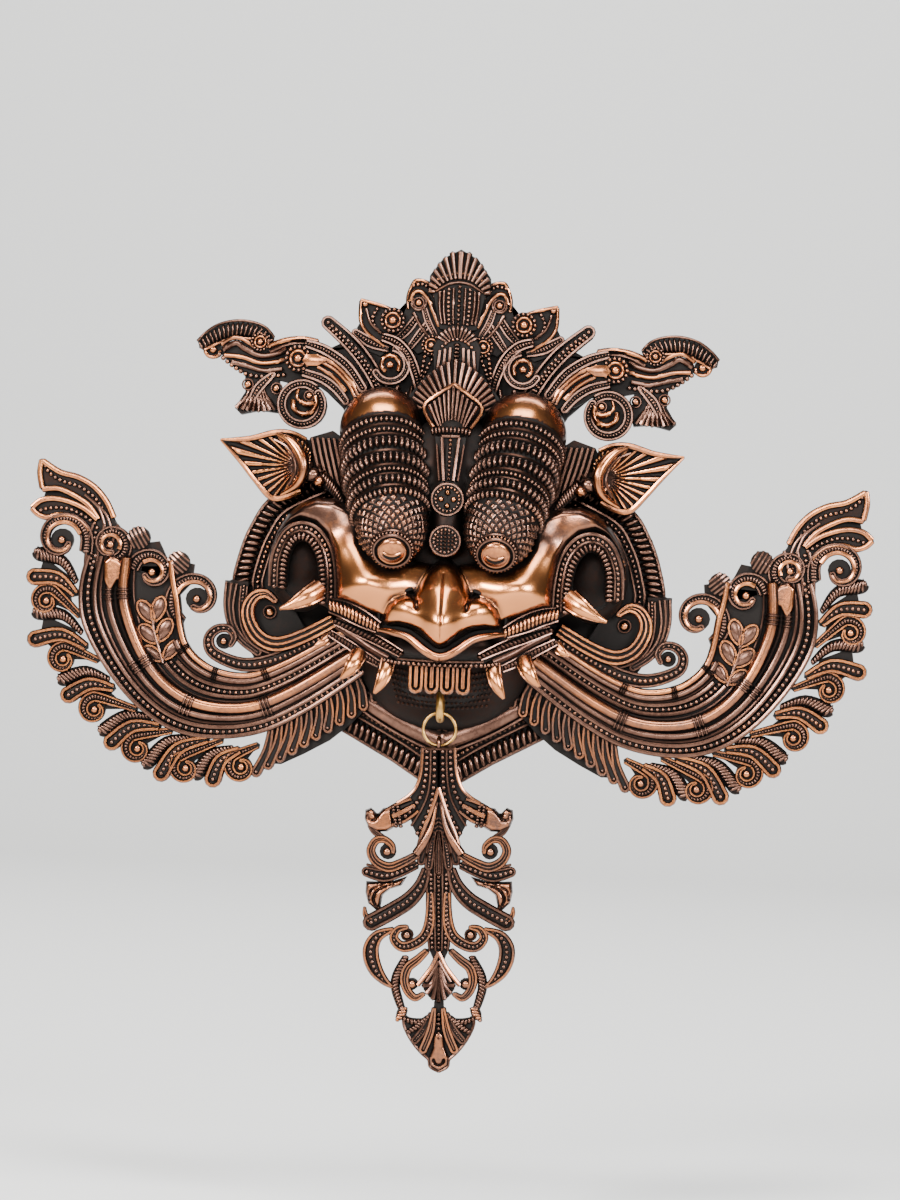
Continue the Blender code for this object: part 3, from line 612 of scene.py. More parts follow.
band_line = [(175.0, 16.0), (174.5, -10.0), (161.0, -41.0), (139.0, -59.0), (110.0, -62.0),
             (84.0, -52.0), (50.0, -30.0)]
band_half = [24.0, 28.0, 22.5, 20.5, 17.0, 15.0, 13.0]
band = smooth_line(np.column_stack([lift(band_line, 0.0), band_half]), 8)


def band_track(share, start, end, f, count=60):
    """A line along the wing's band at a share across it, 1 at the outer edge and -1 at the inner."""
    moved = shifted(band[:, :3], band[:, 3], -share)
    places = np.linspace(start, end, count) * (len(moved) - 1)
    line = np.stack([np.interp(places, np.arange(len(moved)), moved[:, axis]) for axis in range(3)], axis=1)
    line[:, 1] = -f
    return line


def leaf(carving, root, tip, half, f):
    """A small rounded leaf: a domed face, a raised edge and a midrib."""
    root = np.array(root, dtype=float)
    run = np.array(tip, dtype=float) - root
    reach = float(np.linalg.norm(run))
    ahead = run / reach
    across = np.array([-ahead[1], ahead[0]])
    half_line = [(0.0, 0.25), (0.2, 0.72), (0.5, 1.0), (0.78, 0.86), (0.95, 0.42), (1.0, 0.0)]
    outline = [root + ahead * reach * s + across * half * w for s, w in half_line]
    outline += [root + ahead * reach * s - across * half * w for s, w in half_line[-2::-1]]
    edge = smooth_line(lift(outline, f), 3)
    slab(carving, outline, f - 3.0, f - 0.2, RIM, 0.9)
    tube(carving, edge, 0.95, BRIGHT, sides=6)
    tube(carving, lift([root - ahead * 1.5, root + ahead * reach * 0.68], f), [0.9, 0.6], RIM, sides=6)


def wing_carving():
    made = Carving()
    low = wing_back + 6.4
    # Ground of the band, domed between its back edges
    count = 40
    rows = [band_track(share, 0.0, 1.0, low - 1.8 - 1.0 * abs(share) ** 6, count)
            for share in np.linspace(1.0, -1.0, 9)]
    backs = [band_track(share, 0.0, 1.0, wing_back, count) for share in (1.0, -1.0)]
    rows = [backs[0]] + rows + [backs[1]]
    faces = []
    for row in range(len(rows)):
        after = (row + 1) % len(rows)
        for step in range(count - 1):
            faces.append((row * count + step, after * count + step, after * count + step + 1,
                          row * count + step + 1))
    faces.append(tuple(row * count for row in range(len(rows))))
    faces.append(tuple(row * count + count - 1 for row in range(len(rows) - 1, -1, -1)))
    made.add(np.concatenate(rows), faces, GROUND)
    # Outer edge rim, big beads and thin rims
    tube(made, band_track(0.965, 0.0, 1.0, low + 0.2), 1.35, RIM)
    tube(made, band_track(0.82, 0.0, 1.0, low - 1.2), 1.6, SUNK, sides=6)
    beads(made, band_track(0.82, 0.0, 1.0, low - 0.4), 1.6, 1.1)
    tube(made, band_track(0.68, 0.0, 1.0, low + 0.5), 1.35, RIM)
    tube(made, band_track(0.57, 0.0, 1.0, low + 0.1), 0.9, RIB)
    # Two bamboo tubes with knots
    tube(made, band_track(0.40, 0.0, 1.0, low + 0.8), 2.1, RIM, sides=12)
    tube(made, band_track(0.27, 0.0, 1.0, low - 0.4), 0.9, RIB)
    tube(made, band_track(0.10, 0.0, 1.0, low + 1.4), 3.3, 0.86, sides=14)
    tube(made, band_track(-0.09, 0.0, 1.0, low - 0.4), 0.9, RIB)
    for place in (0.13, 0.32, 0.50, 0.74):
        for share, radius, height in ((0.40, 2.1, 0.8), (0.10, 3.3, 1.4)):
            spot = band_track(share, place - 0.012, place + 0.012, low + height, 5)
            for index in (0, 2, 4):
                centre = spot[index]
                ahead = unit(spot[4] - spot[0])
                turned = unit(np.cross(ahead, OUTWARD))
                knot = [centre + (turned * math.cos(a) + OUTWARD * math.sin(a)) * radius * 1.1
                        for a in np.linspace(0, 2 * math.pi, 14, endpoint=False)]
                tube(made, knot, 0.62, RIM, closed=True, sides=6, fronts=unit(np.array(knot) - centre))
    # Inner bead row between rims, and the double ribs at the inner edge
    tube(made, band_track(-0.25, 0.36, 1.0, low + 0.3), 1.3, RIM)
    tube(made, band_track(-0.39, 0.37, 1.0, low - 1.2), 1.4, SUNK, sides=6)
    beads(made, band_track(-0.39, 0.37, 1.0, low - 0.4), 1.45, 1.1)
    tube(made, band_track(-0.53, 0.38, 1.0, low + 0.2), 1.2, RIM)
    tube(made, band_track(-0.63, 0.35, 1.0, low - 0.3), 0.8, RIB)
    tube(made, band_track(-0.75, 0.31, 1.0, low + 0.6), 1.9, RIM, sides=10)
    tube(made, band_track(-0.93, 0.0, 1.0, low + 0.6), 2.0, BRIGHT, sides=10)
    for place in (0.36, 0.56, 0.78):
        for share in (-0.75, -0.93):
            for step in (-0.009, 0.0, 0.009):
                spot = band_track(share, place + step - 0.002, place + step + 0.002, low + 1.0, 3)
                studs(made, spot[1:2], unit(spot[2] - spot[0]), OUTWARD, 0.55, 2.5, 2.3, RIM)
    # Leaf sprig in the upper recess
    sprig_f = low + 0.8
    bar(made, [(155, -41), (158.6, -30), (161.6, -19), (161, -9)], sprig_f, 0.9, RIM)
    for root, tip, half in (((161.4, -18.6), (169.4, -7.4), 3.7), ((160.8, -18.0), (156.6, -4.6), 3.7),
                            ((158.6, -29.8), (168.4, -20.8), 3.8), ((158.0, -29.0), (151.8, -16.6), 3.8),
                            ((155.6, -39.4), (165.4, -32.6), 3.2), ((154.4, -38.6), (147.0, -28.6), 3.2)):
        leaf(made, root, tip, half, sprig_f)
    # Tip lobes on their ground
    slab(made, [(180, 28), (188, 42), (202, 54), (216, 57), (224, 52), (226, 44), (212, 38), (198, 27)],
         wing_back, low - 3.2)
    upper_lobe = [(184, 33), (188, 44), (195, 53.5), (204, 59.5), (214, 62.4), (221, 65.6), (226.4, 69.2),
                  (228.6, 63), (227.6, 55.6), (225.0, 50.4), (216, 51.0), (206, 47.2), (197, 40.6), (191, 33)]
    upper_beads = [(189, 38), (196, 48), (205, 54.2), (215, 57.0), (222, 61.2), (224.4, 65.0)]
    upper_ribs = [[(194, 37), (200, 44.6), (209, 50.0), (217, 52.8), (225.4, 52.0)],
                  [(185.4, 38), (190, 47), (197, 54.6), (206, 59.4), (216, 61.8), (225.8, 67.6)],
                  [(226.4, 68.0), (227.2, 61.0), (225.6, 52.6)]]
    lower_lobe = [(190, 31), (197, 38.4), (206, 43.6), (214, 47.6), (221, 48.6), (227, 46.6), (231.6, 41.4),
                  (227.6, 36.4), (222, 34.4), (214, 36.2), (206, 34.6), (198, 28)]
    lower_beads = [(196, 34.4), (204, 39.2), (212, 42.0), (220, 42.0), (226, 40.4)]
    lower_ribs = [[(198.4, 30.4), (205, 36.2), (214, 38.4), (222, 36.6), (227.4, 38.2), (230.8, 41.4)],
                  [(194.4, 36.6), (202, 42.4), (211, 46.0), (219, 47.2), (226, 45.8), (230.6, 41.8)]]
    for outline, row, ribs in ((upper_lobe, upper_beads, upper_ribs), (lower_lobe, lower_beads, lower_ribs)):
        relief(made, [(outline, 5.0, 2.4, flat_top(low - 1.2))], (183.0, 26.0, 233.0, 70.0), 0.9, SUNK)
        for rib in ribs:
            bar(made, rib, low - 0.4, 1.7, BRIGHT, flat=0.8, sides=8)
        bead_row(made, row, low - 0.9, 1.35, 1.0)
    for start in ((190, 33), (186, 30)):
        bar(made, [start, (start[0] + 4, start[1] + 10), (start[0] + 12, start[1] + 17)], low, 0.8, RIM)
    # Stem below the lobes with bead rows running up into them
    slab(made, [(160, 12), (198, 10), (199, 24), (196, 36), (188, 39), (181, 32), (172, 26)], wing_back,
         low - 1.0)
    for x, r in ((197.5, 1.3), (189.5, 1.2)):
        bead_row(made, [(x, 12), (x - 1.0, 22), (x - 3.0, 32)], low - 0.6, r, 1.0)
    for x in (200.2, 193.8, 186.5):
        bar(made, [(x, 10), (x - 0.6, 22), (x - 3.6, 34)], low, 0.95, RIM)
    wedge = [(176.6, 12), (181, 16), (186.4, 17.6), (190.6, 14), (190.0, 4), (186.4, -7), (184.0, -2),
             (181.4, 3), (178.4, -3), (175.2, -8), (174.8, 2)]
    relief(made, [(wedge, 4.0, 2.6, flat_top(low + 3.0))], (173.0, -9.0, 192.0, 19.0), 0.6, BRIGHT)
    # Scrolls along the upper edge
    for x, z, r0, a0, r1, a1 in ((213.7, 24.6, 15.0, 203, 4.6, -150), (186.6, 23.1, 9.6, 249, 4.4, -100),
                                 (163.2, 8.8, 11.0, 10, 4.2, 330), (137.9, -5.0, 15.6, -56, 4.8, 290)):
        line = volute_line(x, z, r0, a0, r1, a1, 12)
        widths = np.linspace(4.0, 2.0, len(line))
        ribbon(made, line, widths, low + 0.4, rim=0.8, fill="milled")
        inner = volute_line(x, z, r0 - 4.0, a0 + (a1 - a0) * 0.12, r1 + 0.4, a1, 12)
        bar(made, inner, low + 0.6, np.linspace(1.5, 0.8, 56), BRIGHT)
        boss(made, x, z, 2.3, low, ring=False)
        round_slab(made, x, z, 6.4, wing_back, low - 1.6)
    # Hatched knobs between the scrolls
    for x, z, turn in ((171.2, 27.4, 60.0), (148.8, 14.6, 40.0)):
        round_slab(made, x, z, 6.2, wing_back, low + 0.6, SUNK, 1.8, 18)
        ahead = np.array([math.cos(math.radians(turn)), math.sin(math.radians(turn))])
        across = np.array([-ahead[1], ahead[0]])
        for step in range(-2, 3):
            reach = math.sqrt(6.0 ** 2 - (2.3 * step) ** 2)
            middle = np.array([x, z]) + across * 2.3 * step
            rib = [(*(middle - ahead * reach), low + 0.4), (*middle, low + 2.4 - 0.25 * step * step),
                   (*(middle + ahead * reach), low + 0.4)]
            bar(made, rib, low, 0.95, RIM, sides=6, steps=3)
    slab(made, [(172, 10), (158, 6), (154, 14), (160, 26), (172, 24)], wing_back, low - 1.6, SUNK)
    slab(made, [(156, -2), (148, -4), (141, 4), (140, 14), (150, 16), (158, 8)], wing_back, low - 1.6, SUNK)
    # Large scrolls beside the head
    large = [(62, -20), (78, -29), (94, -37), (111, -40), (127, -34.5), (130.4, -27), (126.5, -21.4),
             (120, -20.5), (116.4, -25), (118, -29.5)]
    ribbon(made, large, [4.4, 4.4, 4.2, 3.9, 3.4, 3.0, 2.7, 2.4, 2.0, 1.6], low + 1.2, rim=0.85)
    round_slab(made, 122.2, -27.6, 4.4, wing_back, low - 1.4)
    boss(made, 122.2, -27.6, 2.2, low - 0.6, ring=False)
    plain = [(62, -14), (78, -23), (92, -28), (102, -25), (108, -17), (109.4, -9), (106, -2.5), (100, -0.5),
             (94.5, -4)]
    ribbon(made, plain, [4.0, 4.2, 4.4, 4.2, 4.0, 3.7, 3.3, 2.8, 2.0], low + 2.2, rim=1.2, fill="rib",
           rim_worn=BRIGHT)
    slab(made, [(92, 0), (106, -2), (110, -14), (104, -26), (90, -28), (76, -22), (84, -8)], wing_back,
         low - 3.0)
    boss(made, 97.5, -10.5, 2.6, low - 2.0)
    ribbon(made, [(112, 3), (112.4, -10), (110.5, -20), (104.5, -28), (94, -32.5)], [2.4, 2.4, 2.3, 2.3, 2.3],
           low + 0.6, rim=0.7)
    ribbon(made, [(119, 4.5), (120, -8), (117.4, -19), (111.5, -27), (103, -33)], [3.8, 3.2, 2.8, 2.6, 2.4],
           low - 0.4, rim=0.9, fill="rib")
    slab(made, [(110, 6), (123, 6), (123, -8), (120, -20), (112, -30), (98, -36), (84, -32), (100, -26),
                (109, -14)], wing_back, low - 2.6, SUNK)
    # Outer leaves in clusters of rope leaf, beaded leaf and curl
    for a_stem, a_tip, b_stem, b_tip, c_stem, centre in (
            ((205, 2), (226.0, 16.5), (205, -5), (227.8, 3.7), (202, -17), (221, -9.3)),
            ((201, -26), (225.2, -16), (198, -34), (226.0, -30.6), (191, -41), (210.4, -41)),
            ((185, -51), (210, -52), (182, -56), (206.5, -60.6), (169, -67), (192, -68)),
            ((161, -71), (186.2, -79), (156, -76), (181.6, -85.6), (149, -78), (167.4, -88.6)),
            ((136, -81), (161.5, -96), (129, -82), (153.6, -101.6), (121, -82), (140.4, -98.3)),
            ((115, -86), (134, -101.0), (111, -87), (125, -103.6), (101, -84), (109.8, -96.3))):
        for stem, tip, other_tip, other_stem in (
                (a_stem, a_tip, b_tip, b_stem), (b_stem, b_tip, centre, c_stem)):
            # A web between the two leaves, short of their tips
            corners = [np.array(root) * (1.0 - share) + np.array(end) * share
                       for root, end, share in ((stem, tip, 0.15), (stem, tip, 0.88),
                                                (other_stem, other_tip, 0.94), (other_stem, other_tip, 0.2))]
            slab(made, corners, wing_back, low - 2.6)
        for root, tip, kind in ((a_stem, a_tip, "rope"), (b_stem, b_tip, "beads")):
            run = np.subtract(tip, root)
            middle = ((root[0] + tip[0]) / 2 - run[1] * 0.17, (root[1] + tip[1]) / 2 + run[0] * 0.17)
            if kind == "rope":
                beyond = np.array(tip) + run / np.linalg.norm(run) * 2.4
                rope(made, [root, middle, tip, beyond], [1.7, 3.2, 4.2, 1.8], low - 0.8, worn=RIM)
            else:
                ribbon(made, [root, middle, tip], [2.6, 4.2, 4.9], low, rim=1.3, rim_worn=BRIGHT)
        toward = math.degrees(math.atan2(c_stem[1] - centre[1], c_stem[0] - centre[0]))
        curl = [c_stem] + volute_line(centre[0], centre[1], 7.2, toward - 66.0, 3.6, toward - 400.0, 10)
        ribbon(made, curl, [2.0, 3.0, 3.2, 3.1, 2.9, 2.7, 2.4, 2.1, 1.8, 1.5, 1.2], low - 0.2, rim=0.8,
               fill="milled", rim_worn=BRIGHT)
        round_slab(made, centre[0], centre[1], 6.0, wing_back, low - 1.6, SUNK)
        boss(made, centre[0], centre[1], 2.2, low - 0.8, ring=False)
    # Shell of round-ended leaves below the root
    slab(made, [(96, -76), (100, -94), (88, -94), (76, -88), (62, -80), (50, -70), (41, -60), (44, -42),
                (60, -50), (80, -66)], wing_back, low - 3.2)
    for index in range(11):
        t = index / 10.0
        root = (94.0 - 50.0 * t, -73.0 + 34.0 * t)
        tip = (101.4 - 64.0 * t, -98.8 + 43.0 * t)
        run = np.subtract(tip, root)
        middle = ((root[0] + tip[0]) / 2 + run[1] * 0.07, (root[1] + tip[1]) / 2 - run[0] * 0.07)
        ribbon(made, [root, middle, tip], [1.8, 2.6, 3.1], low - 1.0 + 0.12 * (index % 2), rim=1.05,
               fill="none", ground=GROUND, rim_worn=SKIN)
        studs(made, [(tip[0], -(low - 1.6), tip[1])], SIDEWAYS, OUTWARD, 1.3, 1.3, 1.2, RIM)
    return made


wings = wing_carving()
right_wing = make_piece("right_wing_carving", wings, copper, back=wing_back, only="right")
left_wing = make_piece("left_wing_carving", wings, copper, back=wing_back, only="left")
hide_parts("right_wing")
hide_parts("left_wing")


# Cast forms: round bodies welded into one skin

def cast_form(name, balls, stems, material, worn, voxel, rounds):
    """Ellipsoids (x, f, z, rx, ry, rz) and stems of (x, f, z, radius) welded by a remesh and smoothed."""
    parts = []
    for x, f, z, rx, ry, rz in balls:
        for side in (1.0, -1.0) if x > 0.0 else (1.0,):
            clear_selection()
            bpy.ops.mesh.primitive_uv_sphere_add(segments=32, ring_count=20, radius=1.0,
                                                 location=(x * side * MM, -f * MM, z * MM))
            ball = bpy.context.active_object
            ball.scale = (rx * MM, ry * MM, rz * MM)
            bpy.ops.object.transform_apply(location=True, rotation=True, scale=True)
            parts.append(ball)
    if stems:
        rods = Carving()
        for rows in stems:
            mixed = smooth_line([(x, -f, z, r) for x, f, z, r in rows], 6)
            tube(rods, mixed, mixed[:, 3], 0.0, sides=16)
            studs(rods, mixed[:1], mixed[1:2, :3] - mixed[:1, :3], OUTWARD, mixed[0, 3], mixed[0, 3],
                  mixed[0, 3], 0.0, BOSS_SHAPE)
        parts.append(make_piece("rods", rods, material))
    clear_selection()
    for part in parts:
        part.select_set(True)
    bpy.context.view_layer.objects.active = parts[0]
    bpy.ops.object.join()
    piece = bpy.context.active_object
    piece.name = name
    piece.data.name = name
    remesh = piece.modifiers.new("weld", "REMESH")
    remesh.mode = "VOXEL"
    remesh.voxel_size = voxel * MM
    smooth = piece.modifiers.new("soften", "SMOOTH")
    smooth.factor = 0.5
    smooth.iterations = rounds
    bpy.ops.object.modifier_apply(modifier="weld")
    bpy.ops.object.modifier_apply(modifier="soften")
    mesh = piece.data
    points = np.empty(len(mesh.vertices) * 3)
    mesh.vertices.foreach_get("co", points)
    points = points.reshape(-1, 3)
    points[:, 1] = np.minimum(points[:, 1], 0.0)
    mesh.vertices.foreach_set("co", points.ravel())
    layer = mesh.attributes.get("worn") or mesh.attributes.new("worn", "FLOAT", "POINT")
    values = worn(points / MM) if callable(worn) else np.full(len(points), float(worn))
    layer.data.foreach_set("value", values)
    mesh.materials.clear()
    mesh.materials.append(material)
    bpy.ops.object.mode_set(mode="EDIT")
    bpy.ops.mesh.select_all(action="SELECT")
    bpy.ops.mesh.normals_make_consistent(inside=False)
    bpy.ops.object.mode_set(mode="OBJECT")
    bpy.ops.object.shade_smooth()
    return piece


# Back plate

plate_line = [(0.0, 78.0), (60.0, 74.0), (97.0, 56.0), (111.0, 37.0), (118.0, 16.0), (119.4, 2.0),
              (114.0, -22.0), (98.0, -46.0), (74.0, -65.0), (50.0, -78.0), (28.0, -90.0),
              (13.0, -99.5), (0.0, -106.2)]


def plate_carving():
    made = Carving()
    slab(made, [(0.0, -10.0)] + plate_line[1:], 0.3, plate_front - 1.5, GROUND)
    edge = smooth_line(lift(plate_line[1:], plate_front), 5)
    widths = np.full(len(edge), 6.0)
    middle = shifted(edge, widths, 1.0)
    tube(made, shifted(edge, widths, 0.20), 1.0, RIM, sides=6)
    tube(made, shifted(edge, widths, 1.95), 0.9, RIM, sides=6)
    row = resample(middle, 3.6)
    along = tangents(row)
    side = unit(np.cross(along, OUTWARD))
    ribs = unit(along + side * 0.30)
    studs(made, row, ribs, OUTWARD, 1.75, 5.6, 2.4, RIM)
    inner = shifted(edge, widths, 2.4)
    beads(made, inner, 1.35)
    tube(made, shifted(edge, widths, 2.8), 0.7, RIM, sides=6)
    # Smooth chevron band below the jaw
    chevron = smooth_line([(50, -12.5, -54, 3.0), (38, -13, -60, 5.0), (20, -14, -69.5, 5.6),
                           (0, -15, -78, 5.8)])
    tube(made, chevron, chevron[:, 3], 0.66, flat=0.45, sides=14)
    for lower in (-1.15, 1.15):
        tube(made, shifted(chevron, chevron[:, 3], lower) + OUTWARD, 0.9, RIM, sides=6)
    return made


plate = make_piece("back_plate_carving", plate_carving(), copper, back=0.0)


# Head

# The eye horns: balls (x, f, z, radius) from the brow dome down to the ball of the eye
dome_balls = [(38.4, 29, 91.0, 23.8), (37.0, 37, 81, 22.8), (35.4, 44.5, 71, 21.8), (33.6, 51.5, 61, 21.2),
              (32.0, 57.5, 53, 20.6), (30.4, 63, 45, 20.0), (28.9, 68, 37.5, 19.2)]
axis_line = np.array([(x, -f, z, r) for x, f, z, r in dome_balls], dtype=float)
pupil_place = np.array([27.7, -84.0, 24.3])
pupil_look = unit(np.array([-0.02, -0.83, -0.55]))

# The net of diamonds on the ball of the eye: its rows, the diamonds in each, and its angles from the pupil
net_rows = 12
net_around = 22
net_start = 34.0
net_step = 8.2
disc_sides = 32


def horn_station(z):
    """The centre, radius and direction of the eye horn's axis at a height."""
    heights = axis_line[::-1, 2]
    centre = np.array([np.interp(z, heights, axis_line[::-1, axis]) for axis in range(3)])
    radius = float(np.interp(z, heights, axis_line[::-1, 3]))
    below, above = (np.array([np.interp(z + step, heights, axis_line[::-1, axis]) for axis in range(3)])
                    for step in (-3.0, 3.0))
    return centre, radius, unit(below - above)


def horn_ring(z, grow, count=60):
    """An arc round the front of the horn at a station, with its outward directions."""
    centre, radius, ahead = horn_station(z)
    across = unit(np.cross(ahead, OUTWARD))
    across = across if across[0] > 0 else -across
    up = unit(np.cross(across, ahead))
    up = up if up[1] < 0 else -up
    angles = np.radians(np.linspace(-55.0, 235.0, count))
    out = across[None, :] * np.cos(angles)[:, None] + up[None, :] * np.sin(angles)[:, None]
    return centre[None, :] + out * (radius + grow), out


def ring_studs(made, z, grow, pitch, wide, height, worn):
    """A ring of studs round the horn."""
    line, out = horn_ring(z, grow, count=240)
    run = np.linalg.norm(np.diff(line, axis=0), axis=1).sum()
    count = int(run / pitch)
    line, out = horn_ring(z, grow, count=count)
    studs(made, line, tangents(line), out, pitch * 0.52, wide, height, worn)


def surface_of(piece):
    """A tree of a piece's surface in millimetres, to lay carving on."""
    mesh = piece.data
    return BVHTree.FromPolygons([tuple(vertex.co / MM) for vertex in mesh.vertices],
                                [tuple(face.vertices) for face in mesh.polygons])


def horn_carving():
    made = Carving()
    # Rings from the dome down to the ball of the eye
    for z, grow, pitch, wide, height, worn in (
            (81.8, 0.2, 2.6, 1.8, 2.0, BEAD), (76.9, 0.2, 2.4, 1.6, 1.8, BEAD),
            (70.7, 0.6, 3.1, 4.0, 3.0, RIM), (62.4, 0.8, 3.1, 3.8, 3.0, RIM),
            (56.0, 0.4, 2.3, 1.5, 1.8, BEAD), (51.3, 0.6, 2.9, 2.9, 2.8, RIM),
            (45.4, 0.5, 2.6, 2.2, 2.2, BEAD)):
        ring_studs(made, z, grow, pitch, wide, height, worn)
    for z, thick in (
            (84.2, 0.8), (79.4, 1.1), (74.6, 1.1), (66.4, 1.2), (58.4, 1.2), (54.0, 0.8), (48.4, 1.1)):
        line, out = horn_ring(z, 0.2)
        tube(made, line, thick, RIB, fronts=out, sides=6)
    # Ball of the eye, covered in raised diamonds
    centre = axis_line[-1, :3]
    radius = axis_line[-1, 3]
    look = unit(pupil_place - centre)
    across = unit(np.cross(look, np.array([0.0, 0.0, 1.0])))
    up = unit(np.cross(across, look))
    diamond = (np.array([(1, 0, 0), (0, 1, 0), (-1, 0, 0), (0, -1, 0), (0.42, 0, 0.8), (0, 0.42, 0.8),
                         (-0.42, 0, 0.8), (0, -0.42, 0.8), (0, 0, 1.0)], dtype=float),
               [(0, 1, 5, 4), (1, 2, 6, 5), (2, 3, 7, 6), (3, 0, 4, 7), (4, 5, 8), (5, 6, 8), (6, 7, 8),
                (7, 4, 8), (3, 2, 1, 0)])
    edge_centre, edge_radius, edge_ahead = horn_station(44.0)
    skin = surface_of(horns)
    for level in range(net_rows):
        tilt = math.radians(net_start + net_step * level)
        turns = 2.0 * math.pi * (np.arange(net_around) + 0.5 * (level % 2)) / net_around
        out = (look[None, :] * math.cos(tilt) + math.sin(tilt)
               * (across[None, :] * np.cos(turns)[:, None] + up[None, :] * np.sin(turns)[:, None]))
        found = [skin.find_nearest(Vector(centre + ray * (radius + 2.0)))[:2] for ray in out]
        places = np.array([place for place, normal in found])
        keep = (places - edge_centre) @ edge_ahead > 0.8
        if not keep.any():
            continue
        out = np.array([normal for place, normal in found])[keep]
        out *= np.where(np.einsum("ij,ij->i", out, places[keep] - centre) > 0.0, 1.0, -1.0)[:, None]
        along = unit(np.cross(out, look[None, :]))
        wide = math.pi * radius * math.sin(tilt) / net_around
        studs(made, places[keep] - out * 0.2, along, out, wide * 0.88, radius * math.radians(net_step) * 0.88,
              1.25, BEAD, diamond)
    # Milled ring, smooth disc and slit of the eye
    across = unit(np.cross(pupil_look, np.array([0.0, 0.0, 1.0])))
    tilt_up = unit(np.cross(across, pupil_look))

    def pupil_ring(back, r, count=disc_sides):
        """A ring round the pupil's axis and its outward directions."""
        turns = np.linspace(0.0, 2.0 * math.pi, count, endpoint=False)
        out = across[None, :] * np.cos(turns)[:, None] + tilt_up[None, :] * np.sin(turns)[:, None]
        return pupil_place - pupil_look * back + out * r, out

    for r, back, thick in ((11.2, 3.6, 0.9), (9.9, 1.2, 0.8)):
        line, out = pupil_ring(back, r, 40)
        tube(made, line, thick, RIM, fronts=np.tile(pupil_look, (len(line), 1)), closed=True, sides=6)
    line, out = pupil_ring(2.4, 10.7, 34)
    along = unit(np.roll(line, -1, 0) - np.roll(line, 1, 0))
    studs(made, line, along, unit(pupil_look + out * 0.6), 0.85, 1.3, 1.5, BEAD)
    disc = ((2.4, 8.6), (0.4, 8.2), (-0.4, 7.4), (-0.3, 6.8), (-1.0, 6.0), (-1.7, 3.5), (-2.0, 0.01))
    drum = ((7.0, 11.0), (2.6, 10.4), (1.4, 8.0), (1.4, 0.01))
    for profile, worn in ((disc, BRIGHT), (drum, GROUND)):
        made.add(np.concatenate([pupil_ring(back, r)[0] for back, r in profile]),
                 ring_faces(len(profile), disc_sides), worn)
    slit = []
    for t in np.linspace(-1.0, 1.0, 9):
        slit.append(pupil_place + across * (4.8 * t) + tilt_up * (-2.9 + 1.9 * t * t) + pupil_look * 1.7)
    tube(made, np.array(slit), 1.2 - 0.8 * np.abs(np.linspace(-1, 1, 9)) ** 2, -1.0,
         fronts=np.tile(pupil_look, (9, 1)), flat=0.5, sides=6)
    lid = [point + tilt_up * 1.9 + pupil_look * 0.35 for point in slit]
    tube(made, np.array(lid), 0.9 - 0.5 * np.abs(np.linspace(-1, 1, 9)) ** 2, BRIGHT,
         fronts=np.tile(pupil_look, (9, 1)), flat=0.7, sides=6)
    return made


def horn_worn(points):
    """The dome above the first ring is rubbed smooth, and the ground between the rings is dark."""
    centre, radius, ahead = horn_station(86.5)
    sides = np.abs(points[:, 0])
    mirrored = np.column_stack([sides, points[:, 1], points[:, 2]])
    behind = (mirrored - centre) @ ahead < 0.0
    return np.where(behind, 1.02, GROUND)


horns = cast_form("horned_eye_bodies", [(x, f, z, r, r, r) for x, f, z, r in dome_balls], [], copper,
                  horn_worn, 1.2, 8)
horn_relief = make_piece("horned_eye_rings", horn_carving(), copper)

head_ground = cast_form(
    "head_ground",
    [(0, 18, 38, 60, 28, 60), (0, 32, 40, 44, 26, 60), (0, 28, 0, 60, 34, 40), (0, 44, -6, 42, 22, 24),
     (80, 20, 16, 19, 16, 26), (0, 14, -36, 46, 20, 36), (0, 48, -24, 32, 16, 10), (0, 34, -40, 26, 14, 18)],
    [[(0, 44, 90, 8.5), (0, 49, 78, 8.5), (0, 53, 66, 8.0), (0, 57, 48, 8.0), (0, 58, 26, 9.0)]],
    copper, SUNK, 1.6, 6)

nose_half = [(0, 22.8), (4, 21.2), (7.6, 17.8), (10.6, 13.6), (13.0, 9.4), (14.4, 5.6), (15.6, 3.0),
             (20.5, 2.6), (26.4, 0.8), (30.6, -3.6), (32.6, -9.0), (32.6, -13.4), (29.5, -15.8), (23, -15.2),
             (17.0, -16.4), (12.2, -18.6), (8.0, -21.8), (4.2, -24.8), (0, -26.4)]
nose_outline = nose_half + [(-x, z) for x, z in nose_half[-2:0:-1]]
nose_height = height_map([(0, 22, 68), (0, 14, 77.5), (0, 4, 86), (0, -6, 92.0), (0, -15, 94.0),
                          (0, -24, 91.5), (6, -12, 91.6), (6, -20, 89.5), (6, 6, 83.5), (6, 15, 74.5),
                          (11, 9, 77.5), (12, 0, 82.5), (12, -8, 87), (12, -15, 85.5), (19, -4, 84.5),
                          (19, -12, 84.0), (26, -6, 81.5), (31, -11, 76.5)], mirrored=True)
cheek_outline = [(5, 8), (6, 20), (20, 21), (33, 21), (41, 24), (45, 30), (46, 40), (51, 48.0), (61, 52.2),
                 (72, 52.8), (80.4, 49.6), (87.6, 43.6), (93.8, 34), (97.4, 24), (97.6, 14), (96.2, 14),
                 (95.4, 22), (91.2, 31), (86, 36.8), (79.5, 39.2), (72.5, 37.6), (66.5, 32.4), (62.2, 25),
                 (59.8, 14), (59.0, 4), (58.8, -3.0), (54, -3.0), (48.5, -4.8), (42, -8.2), (36, -10.8),
                 (31, -13.5), (20, -10), (9, -8)]
